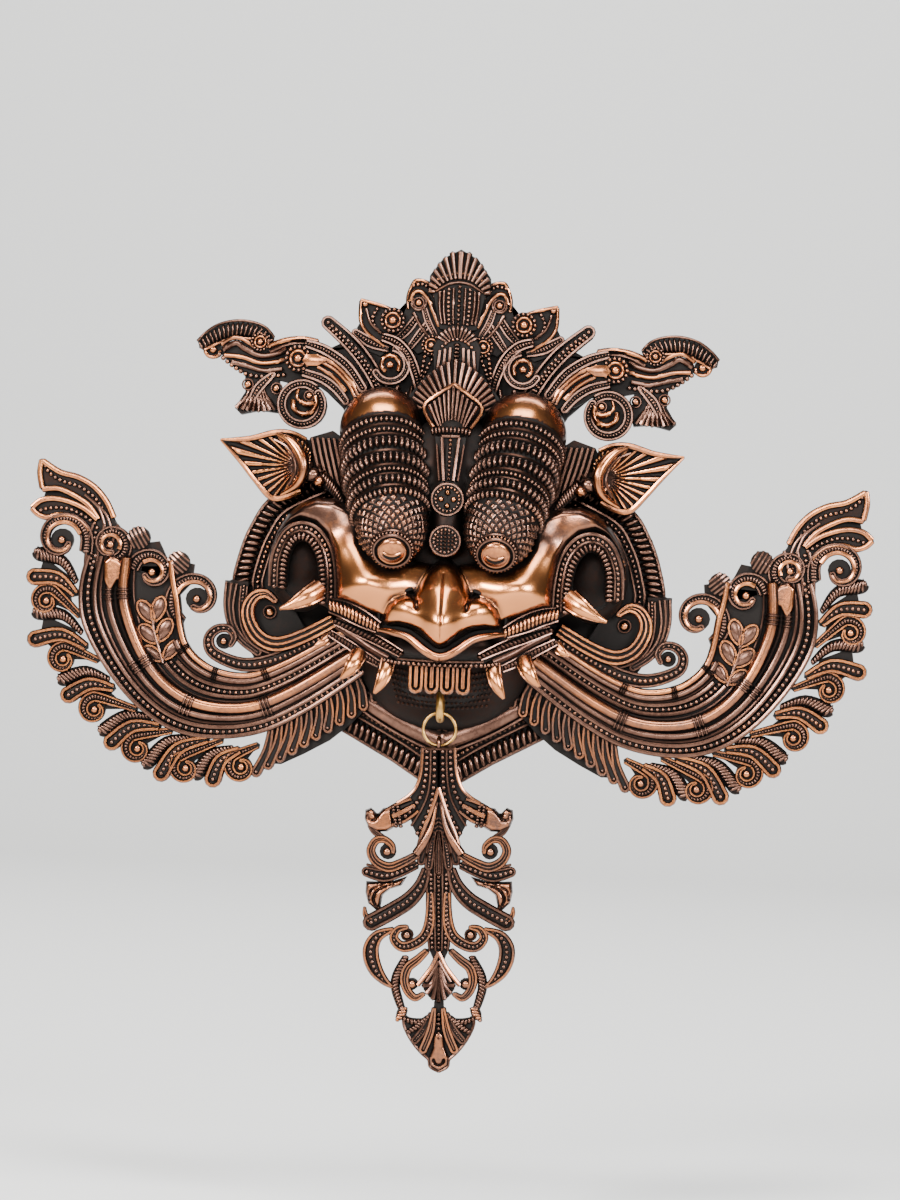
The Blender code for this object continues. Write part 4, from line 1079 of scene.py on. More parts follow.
cheek_height = height_map([(10, 16, 64), (10, 0, 70), (20, 19, 66), (20, 10, 72), (20, 0, 72), (30, 19, 68),
                           (30, 10, 75.0), (30, 1, 75.5), (32, -8, 71.5), (40, 19, 69.5), (40, 10, 76.5),
                           (41, 2, 76.0), (42, -5, 71.5), (48, 17, 70.5), (49, 8, 74.0), (50, 0, 72.0),
                           (55, 14, 67.5), (55.5, 4, 68.5), (58.5, 4, 64.5), (56, -2, 66.5), (54, 26, 64.5),
                           (48, 36, 60), (54, 40, 59.5), (62, 45, 59), (60, 34, 59.5), (72, 48, 56.0),
                           (78, 45.5, 53.5), (85, 41, 49.0), (92, 32, 42.5), (97, 20, 35)])


def face_skin_carving():
    made = Carving()
    relief(made, [(nose_outline, 14.0, 5.0, nose_height), (cheek_outline, 12.0, 5.0, cheek_height)],
           (0.0, -28.0, 99.0, 54.0), 0.6, lambda x, z: np.interp(z, [16.0, 34.0], [POLISHED, RIM + 0.1]),
           [([(0, -24), (0, -10), (0, 6), (0, 14)], 0.9, 0.7),
            ([(18.0, 3.6), (15.2, 1.2), (13.6, -2.4), (13.4, -4.6)], 3.0, 1.0)])
    return made


face_skin = make_piece("cheeks_and_nose", face_skin_carving(), copper, angle=80.0)


def drape(tree, x, z):
    """The point of a surface that shows at (x, z) from the front."""
    hit = tree.ray_cast(Vector((x, -200.0, z)), Vector((0.0, 1.0, 0.0)))[0]
    return (x, hit.y if hit else 0.0, z)


ground_tree = surface_of(head_ground)


def face_carving():
    made = Carving()
    # Dark groove round each nostril wing
    tube(made, smooth_line([(33.6, -67, -14.6), (34.0, -69, -8.6), (31.6, -71, -2.2), (26.6, -72, 2.4),
                            (20, -72, 4.2), (16.4, -72.5, 5.4)]), 1.0, -0.6, sides=6)
    # Lips: the dark line above them and the smooth rolled lip
    top = [(31.0, 67.0, -16.0, 1.4), (25.0, 71.0, -16.6, 2.0), (17.0, 75.0, -18.4, 2.2),
           (9.0, 79.0, -23.4, 2.2), (4.0, 80.6, -27.0, 2.2), (0.0, 81.0, -28.2, 2.2)]
    mixed = smooth_line([(x, -f, z, r) for x, f, z, r in top])
    tube(made, mixed, mixed[:, 3], -0.6, sides=8)
    lip = [(33.0, 72.0, -17.4, 1.2), (26.0, 76.5, -18.4, 2.0), (17.5, 80.5, -20.6, 2.4),
           (9.5, 84.5, -26.4, 2.5), (4.0, 86.0, -29.6, 2.5), (0.0, 86.2, -30.6, 2.5)]
    mixed = smooth_line([(x, -f, z, r) for x, f, z, r in lip])
    tube(made, mixed, mixed[:, 3], BRIGHT, sides=10)
    # Bead row and U-rimmed teeth
    row = smooth_line([(22, -74, -34.5), (12, -76.5, -34.8), (0, -77.5, -35.0)])
    beads(made, row, 1.25)
    tube(made, smooth_line([(23, -73.5, -32.6), (12, -76.5, -33.0), (0, -77.5, -33.2)]), 0.8, RIM, sides=6)
    for x in (4.2, 12.6):
        for half, forward, thick in ((3.1, 0.0, 1.25), (0.5, 0.2, 0.8)):
            arch = [(x - half, -73.5 - forward, -36.0), (x - half, -73.5 - forward, -46.6)]
            arch += [(x - half * math.cos(a), -73.5 - forward, -46.6 - half * 1.05 * math.sin(a))
                     for a in np.linspace(0.4, math.pi - 0.4, 5)]
            arch += [(x + half, -73.5 - forward, -46.6), (x + half, -73.5 - forward, -36.0)]
            tube(made, np.array(arch), thick, BRIGHT, sides=6)
        ribbon(made, [(x, -35.5), (x, -41), (x, -47.4)], [3.2, 3.2, 3.1], 73.3, rim=0.5, fill="none",
               thick=4.0, ground=0.35)
    # Mouth-corner loops: outer rim, beads, rim, thick milled band
    loop = np.array([(58.5, 57, -4), (59.0, 57, 10), (62.0, 56, 25), (69.5, 54.5, 35.5), (79.5, 52, 38.6),
                     (89, 48.5, 33.5), (95, 44.5, 20), (95.8, 41, 4)])
    line = smooth_line([(x, -f, z) for x, f, z in loop], 8)
    front = unit(np.array([0.25, -1.0, 0.0]))
    widths = np.full(len(line), 1.0)
    tube(made, line, 1.1, RIM, sides=8)
    beads(made, shifted(line, widths, 2.5, front), 1.35, front=front)
    tube(made, shifted(line, widths, 4.5, front), 1.0, RIM, sides=8)
    milled(made, shifted(line, widths, 7.2, front) + np.array([0, -0.4, 0]), 2.7, 2.5, 2.4, front)
    tube(made, shifted(line, widths, 4.5, front) + np.array([0, 4.2, 0]), 5.4, SUNK, flat=0.8, sides=12)
    hollow = [(79 + 13 * x, 14 + 18 * z) for x, z in circle(0.0, 0.0, 1.0, 24)]
    slab(made, hollow, 20, 32.0, -0.5, 0.0)
    # Moustache bands
    upper = [(61, 58, -5.6), (53, 62, -7.6), (43.5, 65.5, -11.8), (34, 69, -16.4)]
    middle = [(58, 56, -14), (46, 61, -18.6), (34, 66.5, -23.5), (21, 73, -30)]
    lower = [(61, 54, -20.5), (50, 58.5, -26.5), (41, 62, -32), (33, 66, -36)]
    bands = ((upper, [3.4, 4.3, 4.2, 2.8], 2.5, 1.7, BRIGHT, 0.5),
             (middle, [1.8, 2.3, 2.3, 1.7], 2.4, 1.7, RIB, -0.7),
             (lower, [1.5, 2.0, 2.0, 1.5], 2.2, 1.5, RIB, 0.7))
    for points, widths, pitch, height, worn, slant in bands:
        mixed = smooth_line([(x, -f, z, w) for (x, f, z), w in zip(points, widths)], 8)
        tube(made, mixed[:, :3] + np.array([0, 1.2, 0]), mixed[:, 3], SUNK, flat=0.35, sides=12)
        tube(made, mixed[:, :3] + np.array([0, 4.0, 0]), mixed[:, 3], GROUND, flat=0.9, sides=10)
        row = resample(mixed, pitch)
        along = tangents(row)
        side = unit(np.cross(along, OUTWARD))
        studs(made, row, unit(along + side * slant), (0.15, -1.0, 0.1), pitch * 0.56, row[:, 3] * 1.05,
              height, worn)
        tube(made, shifted(mixed[:, :3], mixed[:, 3], 1.05), 0.6, RIM, sides=6)
        tube(made, shifted(mixed[:, :3], mixed[:, 3], -1.05), 0.6, RIM, sides=6)
    plain = smooth_line([(57, -55.5, -16.5), (46, -60.5, -22.5), (38, -64, -27.5), (28, -69, -32.5)])
    tube(made, plain, 2.2, RIB, flat=0.6, sides=10)
    beads(made, smooth_line([(30, -70.5, -33.5), (24, -73.0, -34.5)]), 1.2)
    # Fangs and tusks with rimmed edges
    outer_fang = [(44.0, 60, -30.5, 4.8), (46.6, 64.5, -36, 4.6), (49.6, 66, -40.5, 3.2),
                  (53.2, 66, -44.4, 0.7)]
    inner_fang = [(28.0, 66, -33.0, 4.3), (29.2, 70, -40.0, 4.2), (31.8, 71.5, -46.5, 3.0),
                  (34.8, 71.5, -51.6, 0.7)]
    corner_fang = [(61.5, 50, -22.5, 3.6), (64.5, 53, -25.5, 2.6), (68.5, 54.5, -27.5, 0.7)]
    tusk = [(67.5, 53.5, 3, 6.4), (74, 58.5, -1.5, 5.4), (82, 61, -6, 2.8), (88.2, 61.5, -8.4, 0.7)]
    for rows in (outer_fang, inner_fang, corner_fang, tusk):
        mixed = smooth_line([(x, -f, z, r) for x, f, z, r in rows], 8)
        tube(made, mixed, mixed[:, 3], 1.0, sides=14, flat=0.8)
        for share in (0.82, -0.82):
            edge = shifted(mixed[:, :3], mixed[:, 3], share)
            edge[:, 1] -= mixed[:, 3] * 0.42
            tube(made, edge, np.maximum(mixed[:, 3] * 0.14, 0.35), BRIGHT, sides=6)
    # Rosette and crosshatched boss between the eyes
    for z, f, r in ((54.0, 66.5, 8.4), (31.5, 73.5, 8.0)):
        round_line = [(math.cos(a) * r, -f + 0.6, z + math.sin(a) * r)
                      for a in np.linspace(math.pi / 2, -math.pi / 2, 24)]
        tube(made, np.array(round_line), 0.8, RIM, sides=6)
        inner = [(math.cos(a) * (r - 1.9), -f, z + math.sin(a) * (r - 1.9))
                 for a in np.linspace(math.pi / 2, -math.pi / 2, 12)]
        beads(made, np.array(inner), 0.95)
        disc = [(0.0, z - r)] + [(math.cos(a) * r, z + math.sin(a) * r)
                                 for a in np.linspace(-math.pi / 2, math.pi / 2, 14)]
        slab(made, disc, f - 12.0, f - 0.4, GROUND)
    for x, z in ((0.0, 57.6), (0.0, 50.4), (3.4, 54.0)):
        studs(made, [(x, -66.2, z)], SIDEWAYS, OUTWARD, 1.7, 1.7, 1.6, BRIGHT, BOSS_SHAPE)
    for row in range(-2, 3):
        for column in range(0, 3):
            if row * row + column * column < 7:
                studs(made, [(column * 2.0, -73.4, 31.5 + row * 2.0)], (1, 1, 1), OUTWARD, 0.95, 0.95, 0.9,
                      RIB)
    # Column: collar and tapered post
    milled(made, smooth_line([(0, -55.5, 91.6), (5, -55.0, 91.4), (10, -53.0, 90.6)]), 2.4, 2.0, 1.8)
    post = [(4.6, -56.5, 87.5), (3.6, -60, 75), (2.6, -62.5, 64)]
    tube(made, smooth_line(post), 0.9, RIM, sides=8)
    tube(made, smooth_line([(0, -57.5, 88.2), (4.6, -56.5, 88.2)]), 0.9, RIM, sides=8)
    tube(made, smooth_line([(7.6, -53.5, 88), (6.2, -57.5, 75), (4.8, -61, 64)]), 0.8, RIB, sides=8)
    beads(made, smooth_line([(0, -57.2, 86.0), (0, -60.5, 75), (0, -63, 65)]), 1.15)
    slab(made, [(0, 88), (8.5, 88), (6.8, 75), (5.0, 63), (0, 62)], 30.0, 55.5, GROUND)
    # Temple strands between the ear and the horn
    slab(made, [(53, 50), (54, 66), (57, 84), (66, 90), (78, 86), (82, 78), (76, 62)], 8.0, 26.0, SUNK)
    for index in range(7):
        x = 3.0 * index - 5.0
        tube(made, smooth_line([(64 + x, -27.5, 85.5), (60.5 + x, -30, 72), (57 + x * 0.8, -33, 57)]), 1.2,
             RIM, sides=6)
    # Stippled ground of the jaw, laid on the head
    for row in range(7):
        z = -41.0 - 3.0 * row
        line = np.array([(x, 0.0, z + 0.004 * x * x) for x in np.linspace(0.8, 30.0 - row, 16 - row)])
        places = np.array([drape(ground_tree, x, z) for x, y, z in line])
        studs(made, places, SIDEWAYS, OUTWARD, 1.1, 1.1, 0.8, 0.38)
    return made


face_relief = make_piece("face_carving", face_carving(), copper)


# Ears

def ear_carving():
    made = Carving()
    outline = [(126.6, 82.6), (118, 83.8), (109, 85.2), (97, 88.8), (88, 88.6), (80, 85), (76, 78), (75, 70),
               (77, 61), (83, 54), (90, 50.8), (98, 50.6), (104, 56), (110, 63.4), (117, 71.6), (122.6, 78.0)]

    def flutes(x, z):
        reach = np.hypot(x - 84.0, z - 70.0)
        turn = np.degrees(np.arctan2(z - 70.0, x - 84.0))
        return np.tanh(1.8 * np.cos(np.radians(turn * 360.0 / 11.0)) + 0.5), reach

    def height(x, z):
        wave, reach = flutes(x, z)
        return 27.5 + np.minimum(reach * 0.2, 6.5) + wave * np.minimum(reach * 0.045, 1.1)

    def bright_share(x, z):
        wave, reach = flutes(x, z)
        return np.interp(wave, [-0.7, 0.0], [-0.2, 1.05]) * np.clip(reach / 7.0, 0.1, 1.0)

    slab(made, outline, 12.0, 24.0, SUNK)
    relief(made, [(outline, 6.0, 3.0, height)], (74.0, 49.0, 128.0, 90.0), 0.5, bright_share)
    # Smooth outer edges that meet at the tip
    top = smooth_line([(80, -31, 84.4, 1.3), (88, -32, 87.4, 1.7), (97, -33, 87.4, 1.8),
                       (109, -34, 84.0, 1.6), (118, -35, 82.8, 1.3), (126.3, -35.5, 82.6, 0.5)], 6)
    tube(made, top, top[:, 3], BRIGHT)
    low = smooth_line([(82, -31, 56, 1.6), (90, -32, 52.4, 1.8), (98, -32.5, 52.2, 1.8),
                       (107, -33.5, 61.4, 1.5), (115, -34.5, 70.8, 1.3), (126.3, -35.5, 82.2, 0.5)], 6)
    tube(made, low, low[:, 3], BRIGHT)
    # Smooth inner rim
    rim = smooth_line([(95, -36.0, 86.4, 1.0), (88, -38.5, 83.0, 2.4), (82.0, -40.5, 75.5, 3.2),
                       (80.0, -41.5, 68.0, 3.0), (83.0, -40.5, 59.5, 2.4), (92.0, -37.0, 53.8, 1.0)], 6)
    tube(made, rim, rim[:, 3], BRIGHT, sides=12)
    tube(made, smooth_line([(97, -35.0, 83.6), (90, -37.0, 80), (85.5, -38.5, 73.5), (84.5, -39, 66.5),
                            (88, -38, 59.0)]), 0.8, RIM, sides=6)
    # Knob, ball and rope leaf at the root
    studs(made, [(75.0, -38.5, 65.0)], SIDEWAYS, OUTWARD, 4.4, 4.0, 3.6, SKIN, BOSS_SHAPE)
    studs(made, [(71.0, -40.5, 61.5)], SIDEWAYS, OUTWARD, 3.3, 3.3, 3.6, BRIGHT, BOSS_SHAPE)
    rope(made, [(69, 64, 40), (63, 58, 43), (58, 51, 46)], [3.0, 3.2, 1.8], 42.0, worn=RIM)
    for angle in np.linspace(0, 2 * math.pi, 9, endpoint=False):
        tube(made, [(75 + 4.6 * math.cos(angle), -36.5, 65 + 4.6 * math.sin(angle)),
                    (75 + 6.8 * math.cos(angle), -34.5, 65 + 6.8 * math.sin(angle))], 0.7, RIB, sides=6)
    return made


ears = make_piece("ear_carving", ear_carving(), copper)


# Crown

def ringed_boss(carving, x, z, f, radius, back):
    """A stud in a smooth ring inside a ring of beads."""
    round_slab(carving, x, z, radius + 0.6, back, f - 0.6)
    boss(carving, x, z, radius * 0.36, f, ring=False)
    tube(carving, lift(circle(x, z, radius * 0.60, 24), f), radius * 0.15, BRIGHT, closed=True, sides=8)
    row = circle(x, z, radius * 0.92, 24)
    beads(carving, lift(row + row[:1], f), radius * 0.18, 1.1)


def crown_carving():
    made = Carving()
    low = 14.5
    high = 19.5
    # Grounds
    slab(made, [(0, 93), (56, 93), (62, 103), (74, 114), (98, 118), (112, 120), (98, 133), (76, 133),
                (64, 139), (52, 128), (54, 143), (50, 155), (27, 156), (24, 169), (12, 173), (8, 183),
                (0, 187)], 0.3, 11.5)
    slab(made, [(0, 146), (10, 148), (14, 166), (17.0, 171), (16.6, 177.4), (9.6, 187), (0, 192.2)], 4.0,
         high - 0.8)
    slab(made, [(0, 120), (12, 124), (13, 138), (9, 145), (0, 150)], 4.0, high + 3.0)
    slab(made, [(0, 94), (14, 98), (26, 109), (15, 123), (0, 131.3)], 4.0, high + 11.0)
    slab(made, [(0, 94), (9, 95), (14.5, 104), (0, 116)], 20.0, high + 20.0, RIB)
    slab(made, [(131.5, 131.5), (122, 122.5), (113, 118), (98, 117), (84, 114), (76, 126), (78, 140),
                (92, 141), (103, 136.5), (114, 138), (126, 137)], 2.0, low - 1.0)
    slab(made, [(98, 119), (96, 106), (98, 99), (108, 100), (118, 97.6), (121.5, 101), (116, 110),
                (116.5, 119), (108, 122)], 2.0, low - 1.5)
    slab(made, [(54, 163), (43, 160.5), (29, 155), (30, 144), (42, 132), (52, 136), (57.5, 144.5), (54, 151)],
         2.0, low - 0.5)
    slab(made, [(29, 160), (27.4, 170), (24, 175), (18, 174), (12, 168), (6, 155), (8, 140), (22, 134),
                (34, 146)], 2.0, low + 0.5)
    # Feather crescent at the side tip
    crest = [(103.5, 138), (109, 142.4), (119, 144.2), (129, 142.4), (136, 138.6), (141.2, 134.4)]
    mixed = smooth_line(np.column_stack([lift(crest, low), [3.4, 4.4, 4.8, 4.8, 4.2, 3.2]]))
    tube(made, mixed[:, :3] + np.array([0, 5.0, 0]), mixed[:, 3], GROUND, flat=1.1, sides=12)
    row = resample(mixed, 2.5)
    along = tangents(row)
    studs(made, row, unit(along + np.array([0.0, 0.0, 0.18])), OUTWARD, 0.95, row[:, 3] * 1.0, 1.8, RIM)
    tube(made, shifted(mixed, mixed[:, 3], 1.0), 0.9, BRIGHT)
    tube(made, shifted(mixed, mixed[:, 3], -1.0), 0.8, RIM)
    round_slab(made, 134.5, 132.6, 4.6, 2.0, low - 1.6, SUNK)
    boss(made, 134.5, 132.6, 2.4, low - 1.4, ring=False)
    bar(made, volute_line(134.5, 132.6, 4.6, 60, 4.2, -170, 10), low - 0.8, 1.1, BRIGHT)
    ringed_boss(made, 108.5, 137.6, low + 1.2, 5.0, 2.0)
    # Flowing bands of the trunk
    for points, radius, worn in (
            ([(129, 132.5), (122, 136.5), (117, 133.5), (108, 130), (99, 131.5), (94, 134)], 1.7, RIM),
            ([(128, 129.6), (118, 128.9), (108, 126), (99, 127), (94, 129)], 1.5, BRIGHT),
            ([(124, 126), (115, 124.0), (106, 121.8), (96, 123.0)], 1.5, RIM),
            ([(104, 135.4), (95, 139), (85, 140.2), (77, 139)], 1.6, BRIGHT),
            ([(103, 132.2), (95, 135.8), (86, 137.4), (78, 136)], 1.3, RIM),
            ([(130, 135.4), (123, 139.6), (116, 137.6), (112, 134.6)], 1.4, BRIGHT)):
        bar(made, points, low, radius, worn)
    bead_row(made, [(131, 130), (122.5, 123.4), (114, 119.2), (104, 118.8), (95, 120)], low - 0.4, 1.45)
    # Tuft below the trunk
    for index in range(8):
        t = index / 7.0
        end = (120.4 - 21.4 * t, 101.0 - 1.6 * math.sin(3.1 * t))
        bar(made, [(113 - 7 * t, 112), (116 - 13 * t, 106), end], low - 0.8, [0.8] * 3 + [1.5] * 4, RIM,
            sides=8, steps=3)
    ribbon(made, [(112, 106), (108, 113), (101, 120)], [2.4, 3.0, 2.0], low, fill="beads")
    boss(made, 114.5, 114.0, 2.2, low)
    boss(made, 98.6, 112.4, 2.2, low)
    # Ring boss with its wedge and the ribs that run to the brow
    ringed_boss(made, 87.0, 129.0, high + 0.6, 7.0, 8.0)
    slab(made, [(82.5, 131.5), (77, 131.5), (71.0, 128.4), (76, 125.4), (82, 125.2), (84.5, 128)], low,
         high + 2.2, BRIGHT, 0.6)
    ribbon(made, [(83, 137.5), (72, 134), (60, 126), (51, 114)], [2.6, 3.0, 3.0, 2.8], high, fill="milled",
           thick=6.0)
    ribbon(made, [(84, 121.5), (74, 118.6), (66, 113.5), (60, 106.5)], [2.6, 2.8, 2.8, 2.4], high,
           fill="milled", thick=6.0)
    for points in (
            [(77, 131), (67, 126.5), (58, 118.5), (53, 110)],
            [(74, 127.5), (65, 122.4), (58, 115), (55, 109)], [(76, 125), (67, 119.5), (60, 112)]):
        bar(made, points, high + 0.6, 1.25, BRIGHT)
    slab(made, [(84, 136), (84, 120), (66, 108), (50, 106), (48, 116), (62, 130)], 8.0, high - 1.6)
    # Big lower scroll
    round_slab(made, 84, 104, 13, 2.0, high - 3.0, sides=18)
    ribbon(made, volute_line(84.0, 104.0, 11.4, 128, 10.8, -215, 16), np.full(16, 2.7), high - 1.2, rim=0.8,
           fill="milled")
    bar(made, volute_line(83.4, 105.0, 7.4, 150, 5.4, 372, 10), high - 0.4, 1.7, BRIGHT)
    bar(made, [(86, 112), (87.0, 108.5), (84.5, 105.4), (80.5, 104.0), (77.5, 105.0)], high + 0.4,
        [1.0] * 10 + [1.7] * 11, BRIGHT)
    boss(made, 80.2, 108.8, 2.0, high)
    # Spear leaf
    ribbon(made, [(41, 114), (48, 126), (58, 138), (71.5, 149.5)], [4.4, 4.6, 4.6, 4.0], low + 2.0, thick=8.0,
           fill="beads", rim=0.9)
    bead_row(made, [(44, 116), (51, 127), (60, 137), (70.6, 146.5)], low + 2.0, 1.15)
    # Scroll leaf
    for points, radius, worn in (([(54, 162.6), (43, 160), (35, 157), (29.5, 154.2)], 1.1, BRIGHT),
                                 ([(54, 162), (53.6, 150.6), (48, 143), (40, 138)], 1.1, BRIGHT),
                                 ([(51, 158), (48, 150), (42, 145)], 1.0, RIM)):
        bar(made, points, low + 1.0, radius, worn)
    boss(made, 51.7, 160.6, 2.0, low, ring=False)
    ringed_boss(made, 36.0, 152.0, high - 1.0, 6.6, 6.0)
    bead_row(made, [(45.0, 158.0), (47.4, 152.6), (44.6, 146.4), (38.6, 143.6)], low + 0.6, 1.2)
    ribbon(made, [(38, 136), (48, 139.6), (56.2, 144.6)], [1.8, 3.2, 2.4], low + 1.0, fill="milled", rim=0.8)
    ribbon(made, [(41, 142.5), (33, 139.6), (25.5, 131), (20.5, 117), (20, 108)], [2.6, 3.1, 3.1, 2.8, 2.4],
           high - 1.0, fill="milled", rim=0.8, thick=7.0)
    ribbon(made, volute_line(36.5, 127.5, 9.4, 100, 8.8, 330, 10), np.full(10, 2.2), high - 1.2, rim=0.8,
           fill="milled")
    bar(made, volute_line(36.5, 127.5, 5.4, 215, 4.4, -60, 10), high, 1.3, BRIGHT)
    boss(made, 36.5, 127.4, 2.3, high, ring=False)
    # Strands between the lower scroll and the brow
    for points, radius, kind in (([(27, 112), (30, 106), (33, 100), (34, 94)], 1.5, "beads"),
                                 ([(31.4, 116), (35, 109), (38, 101), (39, 94)], 1.5, "rib"),
                                 ([(40, 118.4), (43.6, 111), (45.6, 103), (46, 95)], 1.4, "beads"),
                                 ([(24, 116), (25.6, 108), (28, 100), (28.6, 94)], 1.5, "rib"),
                                 ([(49, 118), (50.6, 111), (51.6, 103)], 1.4, "rib")):
        line = smooth_line(lift(points, 15.5))
        if kind == "rib":
            tube(made, line, radius, RIM)
        else:
            beads(made, line, radius, 1.1)
    ribbon(made, [(23, 154), (28, 147), (33, 142)], [2.4, 2.6, 2.2], low + 1.4, fill="milled", rim=0.7)
    ribbon(made, [(16, 152), (21, 145), (26, 138)], [2.2, 2.4, 2.0], low + 1.6, fill="milled", rim=0.7)
    # Scroll beside the top fan
    bar(made, [(28, 159), (28.4, 165), (26.6, 171), (24, 174.6), (18, 173.6), (13, 169.6)], low + 1.2, 1.0,
        BRIGHT)
    bead_row(made, [(25.4, 171.6), (20, 172.4), (15.4, 168.4), (11.4, 160), (9, 152)], low + 1.6, 1.15)
    bar(made, [(27, 163), (25.4, 167.4), (21.4, 168.4), (17.4, 165), (13.8, 157), (10.4, 149.6)], low + 2.2,
        1.3, BRIGHT)
    ribbon(made, [(19, 159), (16.6, 152), (12.6, 145)], [1.8, 2.0, 1.7], low + 2.0, rim=0.6)
    bar(made, volute_line(22.4, 162.3, 4.4, 120, 3.6, 400, 10), low + 2.0, 0.9, RIM)
    boss(made, 22.2, 162.2, 2.1, low + 2.0)
    bar(made, [(25, 156.6), (20.6, 149.6), (15.6, 143)], low + 1.6, 1.1, RIM)
    # Top fan: radiating ribs, beaded chevron, upright ribs
    for index in range(8):
        t = index / 7.0
        angle = math.radians(90.0 - 52.0 * t)
        far = np.interp(t, [0.0, 0.5, 1.0], [36.4, 29.0, 21.0])
        tube(made, [(0.4 + 17.5 * math.cos(angle) * 0.95, -high - 0.4, 156 + 20.0 * math.sin(angle)),
                    (far * math.cos(angle) * 0.97 + 0.4, -high + 0.2,
                     min(156 + far * math.sin(angle), 190.6))], [1.0, 1.75], RIM, sides=8)
    bead_row(made, [(0, 176.6), (6, 175.4), (13.4, 171.6)], high, 1.15)
    bar(made, [(0, 179.2), (6.4, 177.6), (14.2, 174.4)], high - 0.2, 0.9, BRIGHT)
    bar(made, [(0, 174.0), (6, 172.9), (13.0, 168.8)], high, 0.9, RIM)
    for x, radius, kind in ((0.0, 1.2, "beads"), (3.2, 1.0, "rib"), (5.8, 1.1, "beads"), (8.4, 1.1, "rib"),
                            (10.6, 0.9, "rib")):
        line = smooth_line(lift([(x, 171.5 - x * 0.25), (x, 160), (x * 0.86, 151)], high - 0.2))
        if kind == "rib":
            tube(made, line, radius, RIM)
        else:
            beads(made, line, radius)
    # Small middle fan and its side scrolls
    for angle in np.radians(np.linspace(90.0, 30.0, 6)):
        line = smooth_line(lift([(reach * math.cos(angle), 137.5 + reach * math.sin(angle))
                                 for reach in np.linspace(6.0, 12.4, 5)], high + 3.4), 2)
        sizes = np.interp(np.linspace(0.0, 1.0, len(line)), [0.0, 0.75, 1.0], [0.45, 1.0, 0.75])
        tube(made, line, sizes, RIM, sides=6, flat=0.9)
    bead_row(made, [(0, 142.6), (4.6, 141.4), (8.0, 138.4)], high + 3.4, 1.1)
    milled(made, smooth_line(lift([(0, 139.5), (0, 131)], high + 3.6)), 2.0, 1.9, 1.3)
    for x in (3.6, 6.4, 9.2):
        bar(made, [(x, 139.0 - 0.3 * x), (x * 1.06, 130), (x * 1.2, 122 - 0.2 * x)], high + 3.4, 1.15, RIM,
            sides=6)
    ringed_boss(made, 14.2, 139.0, high + 0.4, 5.4, 8.0)
    for points in ([(12.4, 133.4), (15.6, 127), (18.6, 119)], [(17.6, 132.6), (18.4, 127), (19.0, 122)]):
        bead_row(made, points, high, 1.3, 1.1)
    # Brow fans
    for index in range(11):
        t = index / 10.0
        angle = math.radians(90.0 - 62.0 * t)
        far = np.interp(t, [0.0, 0.35, 0.75, 1.0], [41.0, 35.5, 30.0, 27.4])
        tube(made, [(21.0 * math.cos(angle), -(high + 13.0), 90 + 24.0 * math.sin(angle)),
                    (far * math.cos(angle), -(high + 11.4), 90 + far * math.sin(angle))], [1.2, 1.75], RIM,
             sides=8)
    bar(made, [(0, 117.2, 40.5), (8, 111.6, 40.5), (15.6, 104.2, 40.0), (10, 93, 46)], 35.5, 1.3, BRIGHT,
        steps=4)
    for index in range(6):
        x = 2.6 * index
        tube(made, [(x * 0.55, -47.0, 93.6), (x * 0.98, -41.0, 115.5 - 0.80 * x)], [0.8, 1.35], RIM, sides=8)
    return made


crown = make_piece("crown_carving", crown_carving(), copper, angle=45.0)


# Drop: its own half, about its top and its middle plane

